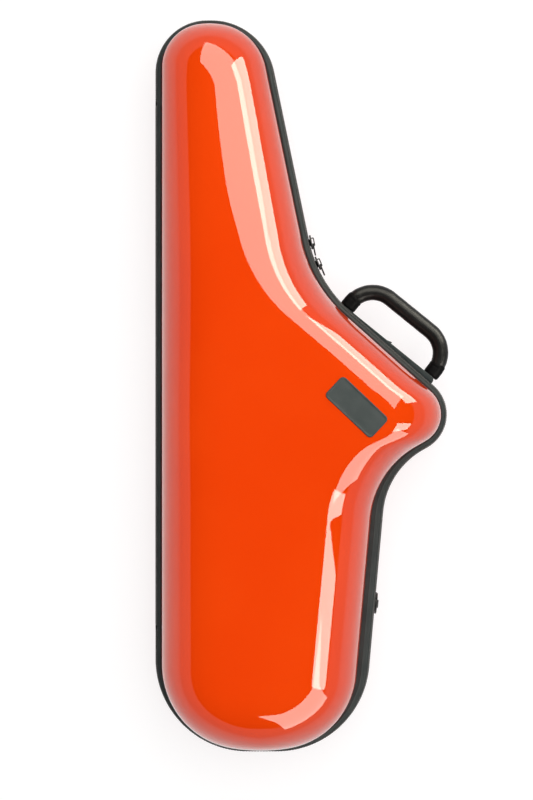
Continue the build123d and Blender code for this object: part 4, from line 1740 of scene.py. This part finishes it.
@dataclass(frozen=True)
class Panel:
    """Soft light panel: where it stands, what it faces, its size and how bright its face is."""

    name: str
    place: Triple
    target: Triple
    size: Pair
    radiance: float
    colour: Triple = (1.0, 1.0, 1.0)
    lights: bool = True
    roll: float = 0.0
    mirrored: bool = True

    def build(self) -> None:
        """Put the lamp in the scene."""
        lamp = bpy.data.lights.new(self.name, "AREA")
        lamp.shape = "RECTANGLE"
        lamp.size, lamp.size_y = self.size
        lamp.energy = self.radiance * self.size[0] * self.size[1] * math.pi
        lamp.color = self.colour
        made = bpy.data.objects.new(self.name, lamp)
        made.location = self.place
        way = Vector(self.target) - Vector(self.place)
        turn = Quaternion(UP, math.radians(self.roll))
        made.rotation_euler = (way.to_track_quat("-Z", "Y") @ turn).to_euler()
        made.visible_camera = False
        made.visible_diffuse = self.lights
        made.visible_glossy = self.mirrored
        bpy.context.scene.collection.objects.link(made)


WARM = (1.0, 0.95, 0.82)
LESS_WARM = (1.0, 0.95, 0.84)


@dataclass
class Studio:
    """White table, pale room, soft panels and the camera that looks straight down."""

    view_height_px: int = 800
    metres_per_px: float = 0.00114
    camera_height: float = 1.99
    sensor: float = 36.0
    axis_place: Pair = (-0.04113, -0.01606)
    table_half: float = 40.0
    table_level: float = -0.0003
    table_white: float = 0.34
    table_glow: float = 0.74
    panels: tuple[Panel, ...] = (
        Panel("upper_card", (0.50, 1.80, 2.15), (0.0, 0.1, 0.1), (4.0, 2.2), 6.5, WARM, False, -14.0),
        Panel("upper_right_card", (1.75, 1.20, 1.05), (0.0, 0.1, 0.1), (1.2, 1.1), 12.0, WARM, False),
        Panel("right_card", (2.35, -0.9, 2.25), (0.0, -0.2, 0.1), (0.55, 1.5), 11.0, LESS_WARM, False),
        Panel(
            "lower_right_card", (1.0, -1.6, 1.35), (0.05, -0.25, 0.1), (2.0, 1.5), 7.0, LESS_WARM, False,
        ),
        Panel("overhead_fill", (0.3, 0.4, 3.0), (0.0, 0.0, 0.0), (3.2, 3.2), 3.25, mirrored=False),
    )

    def camera(self) -> None:
        """Camera over the case, whose frame is the photograph's."""
        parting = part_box("base_rim")[1].z
        held = bpy.data.cameras.new("camera")
        held.sensor_width = self.sensor
        held.lens = self.sensor * self.camera_height / (self.view_height_px * self.metres_per_px)
        made = bpy.data.objects.new("camera", held)
        made.location = (*self.axis_place, parting + self.camera_height)
        bpy.context.scene.collection.objects.link(made)
        bpy.context.scene.camera = made

    def table(self) -> None:
        """White table top, which the camera and mirrors see lit evenly and which keeps a shadow."""
        half, level, white = self.table_half, self.table_level, self.table_white
        corners = [(x * half, y * half, level) for x, y in ((-1, -1), (1, -1), (1, 1), (-1, 1))]
        mesh = bpy.data.meshes.new("table_top")
        mesh.from_pydata(corners, [], [(0, 1, 2, 3)])
        made = link("table_top", mesh)
        material = bpy.data.materials.new("table_white")
        material.use_nodes = True
        material.node_tree.nodes.clear()
        tree = Tree(material.node_tree)
        path = tree.node("ShaderNodeLightPath", {}, {}, "Is Camera Ray")
        seen = path.math("MAXIMUM", path, path.other("Is Glossy Ray"))
        seen = seen.math("MAXIMUM", seen, path.other("Is Transmission Ray"))
        paint = tree.node("ShaderNodeBsdfDiffuse", {}, {"Color": (white, white, white, 1.0)})
        glowing = {"Color": (1, 1, 1, 1), "Strength": seen * self.table_glow}
        both = {0: paint, 1: tree.node("ShaderNodeEmission", {}, glowing)}
        surface = tree.node("ShaderNodeAddShader", {}, both)
        tree.node("ShaderNodeOutputMaterial", {}, {"Surface": surface})
        mesh.materials.append(material)
        made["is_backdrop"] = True

    def room(self) -> None:
        """Room that is pale near the horizon and dim overhead."""
        pale, dim, seen_white = (0.62, 0.60, 0.58, 1), (0.015, 0.015, 0.015, 1), (0.96, 0.96, 0.96, 1)
        world = bpy.data.worlds.new("studio_room")
        bpy.context.scene.world = world
        world.use_nodes = True
        world.node_tree.nodes.clear()
        tree = Tree(world.node_tree)
        way = tree.node("ShaderNodeTexCoord", {}, {}, "Generated")
        height = tree.node("ShaderNodeSeparateXYZ", {}, {"Vector": way}, "Z")
        colour = tree.blend_colours(height.step(0.40, 0.44), pale, dim)
        seen = tree.node("ShaderNodeLightPath", {}, {}, "Is Camera Ray")
        colour = tree.blend_colours(seen, colour, seen_white)
        lit = tree.node("ShaderNodeBackground", {}, {"Color": colour, "Strength": 1.0})
        tree.node("ShaderNodeOutputWorld", {}, {"Surface": lit})

    def build(self) -> None:
        """Set the whole studio up."""
        self.camera()
        self.table()
        self.room()
        for panel in self.panels:
            panel.build()
        bpy.context.scene.view_settings.view_transform = "Standard"


def main() -> None:
    """Build every piece of the case in order."""
    logging.basicConfig(level=logging.INFO, format="%(name)s %(message)s")
    Studio().build()
    space = CaseSpace()
    for half, crown in ((Half.LID, LID_CROWN), (Half.BASE, BASE_CROWN)):
        for part in (ShellMoulding, EdgeBand, Padding):
            part(space, half, crown).build()
    spine = Spine(space)
    spine.tape()
    spine.seal()
    SupportPads().build()
    Handle(space).build()
    NamePlate(space).build()
    Hardware().build()
    boxes = {"cad": CAD_BOX, "visual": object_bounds()}
    {name: [list(corner) for corner in box] for name, box in boxes.items()}


if __name__ == "__main__":
    main()
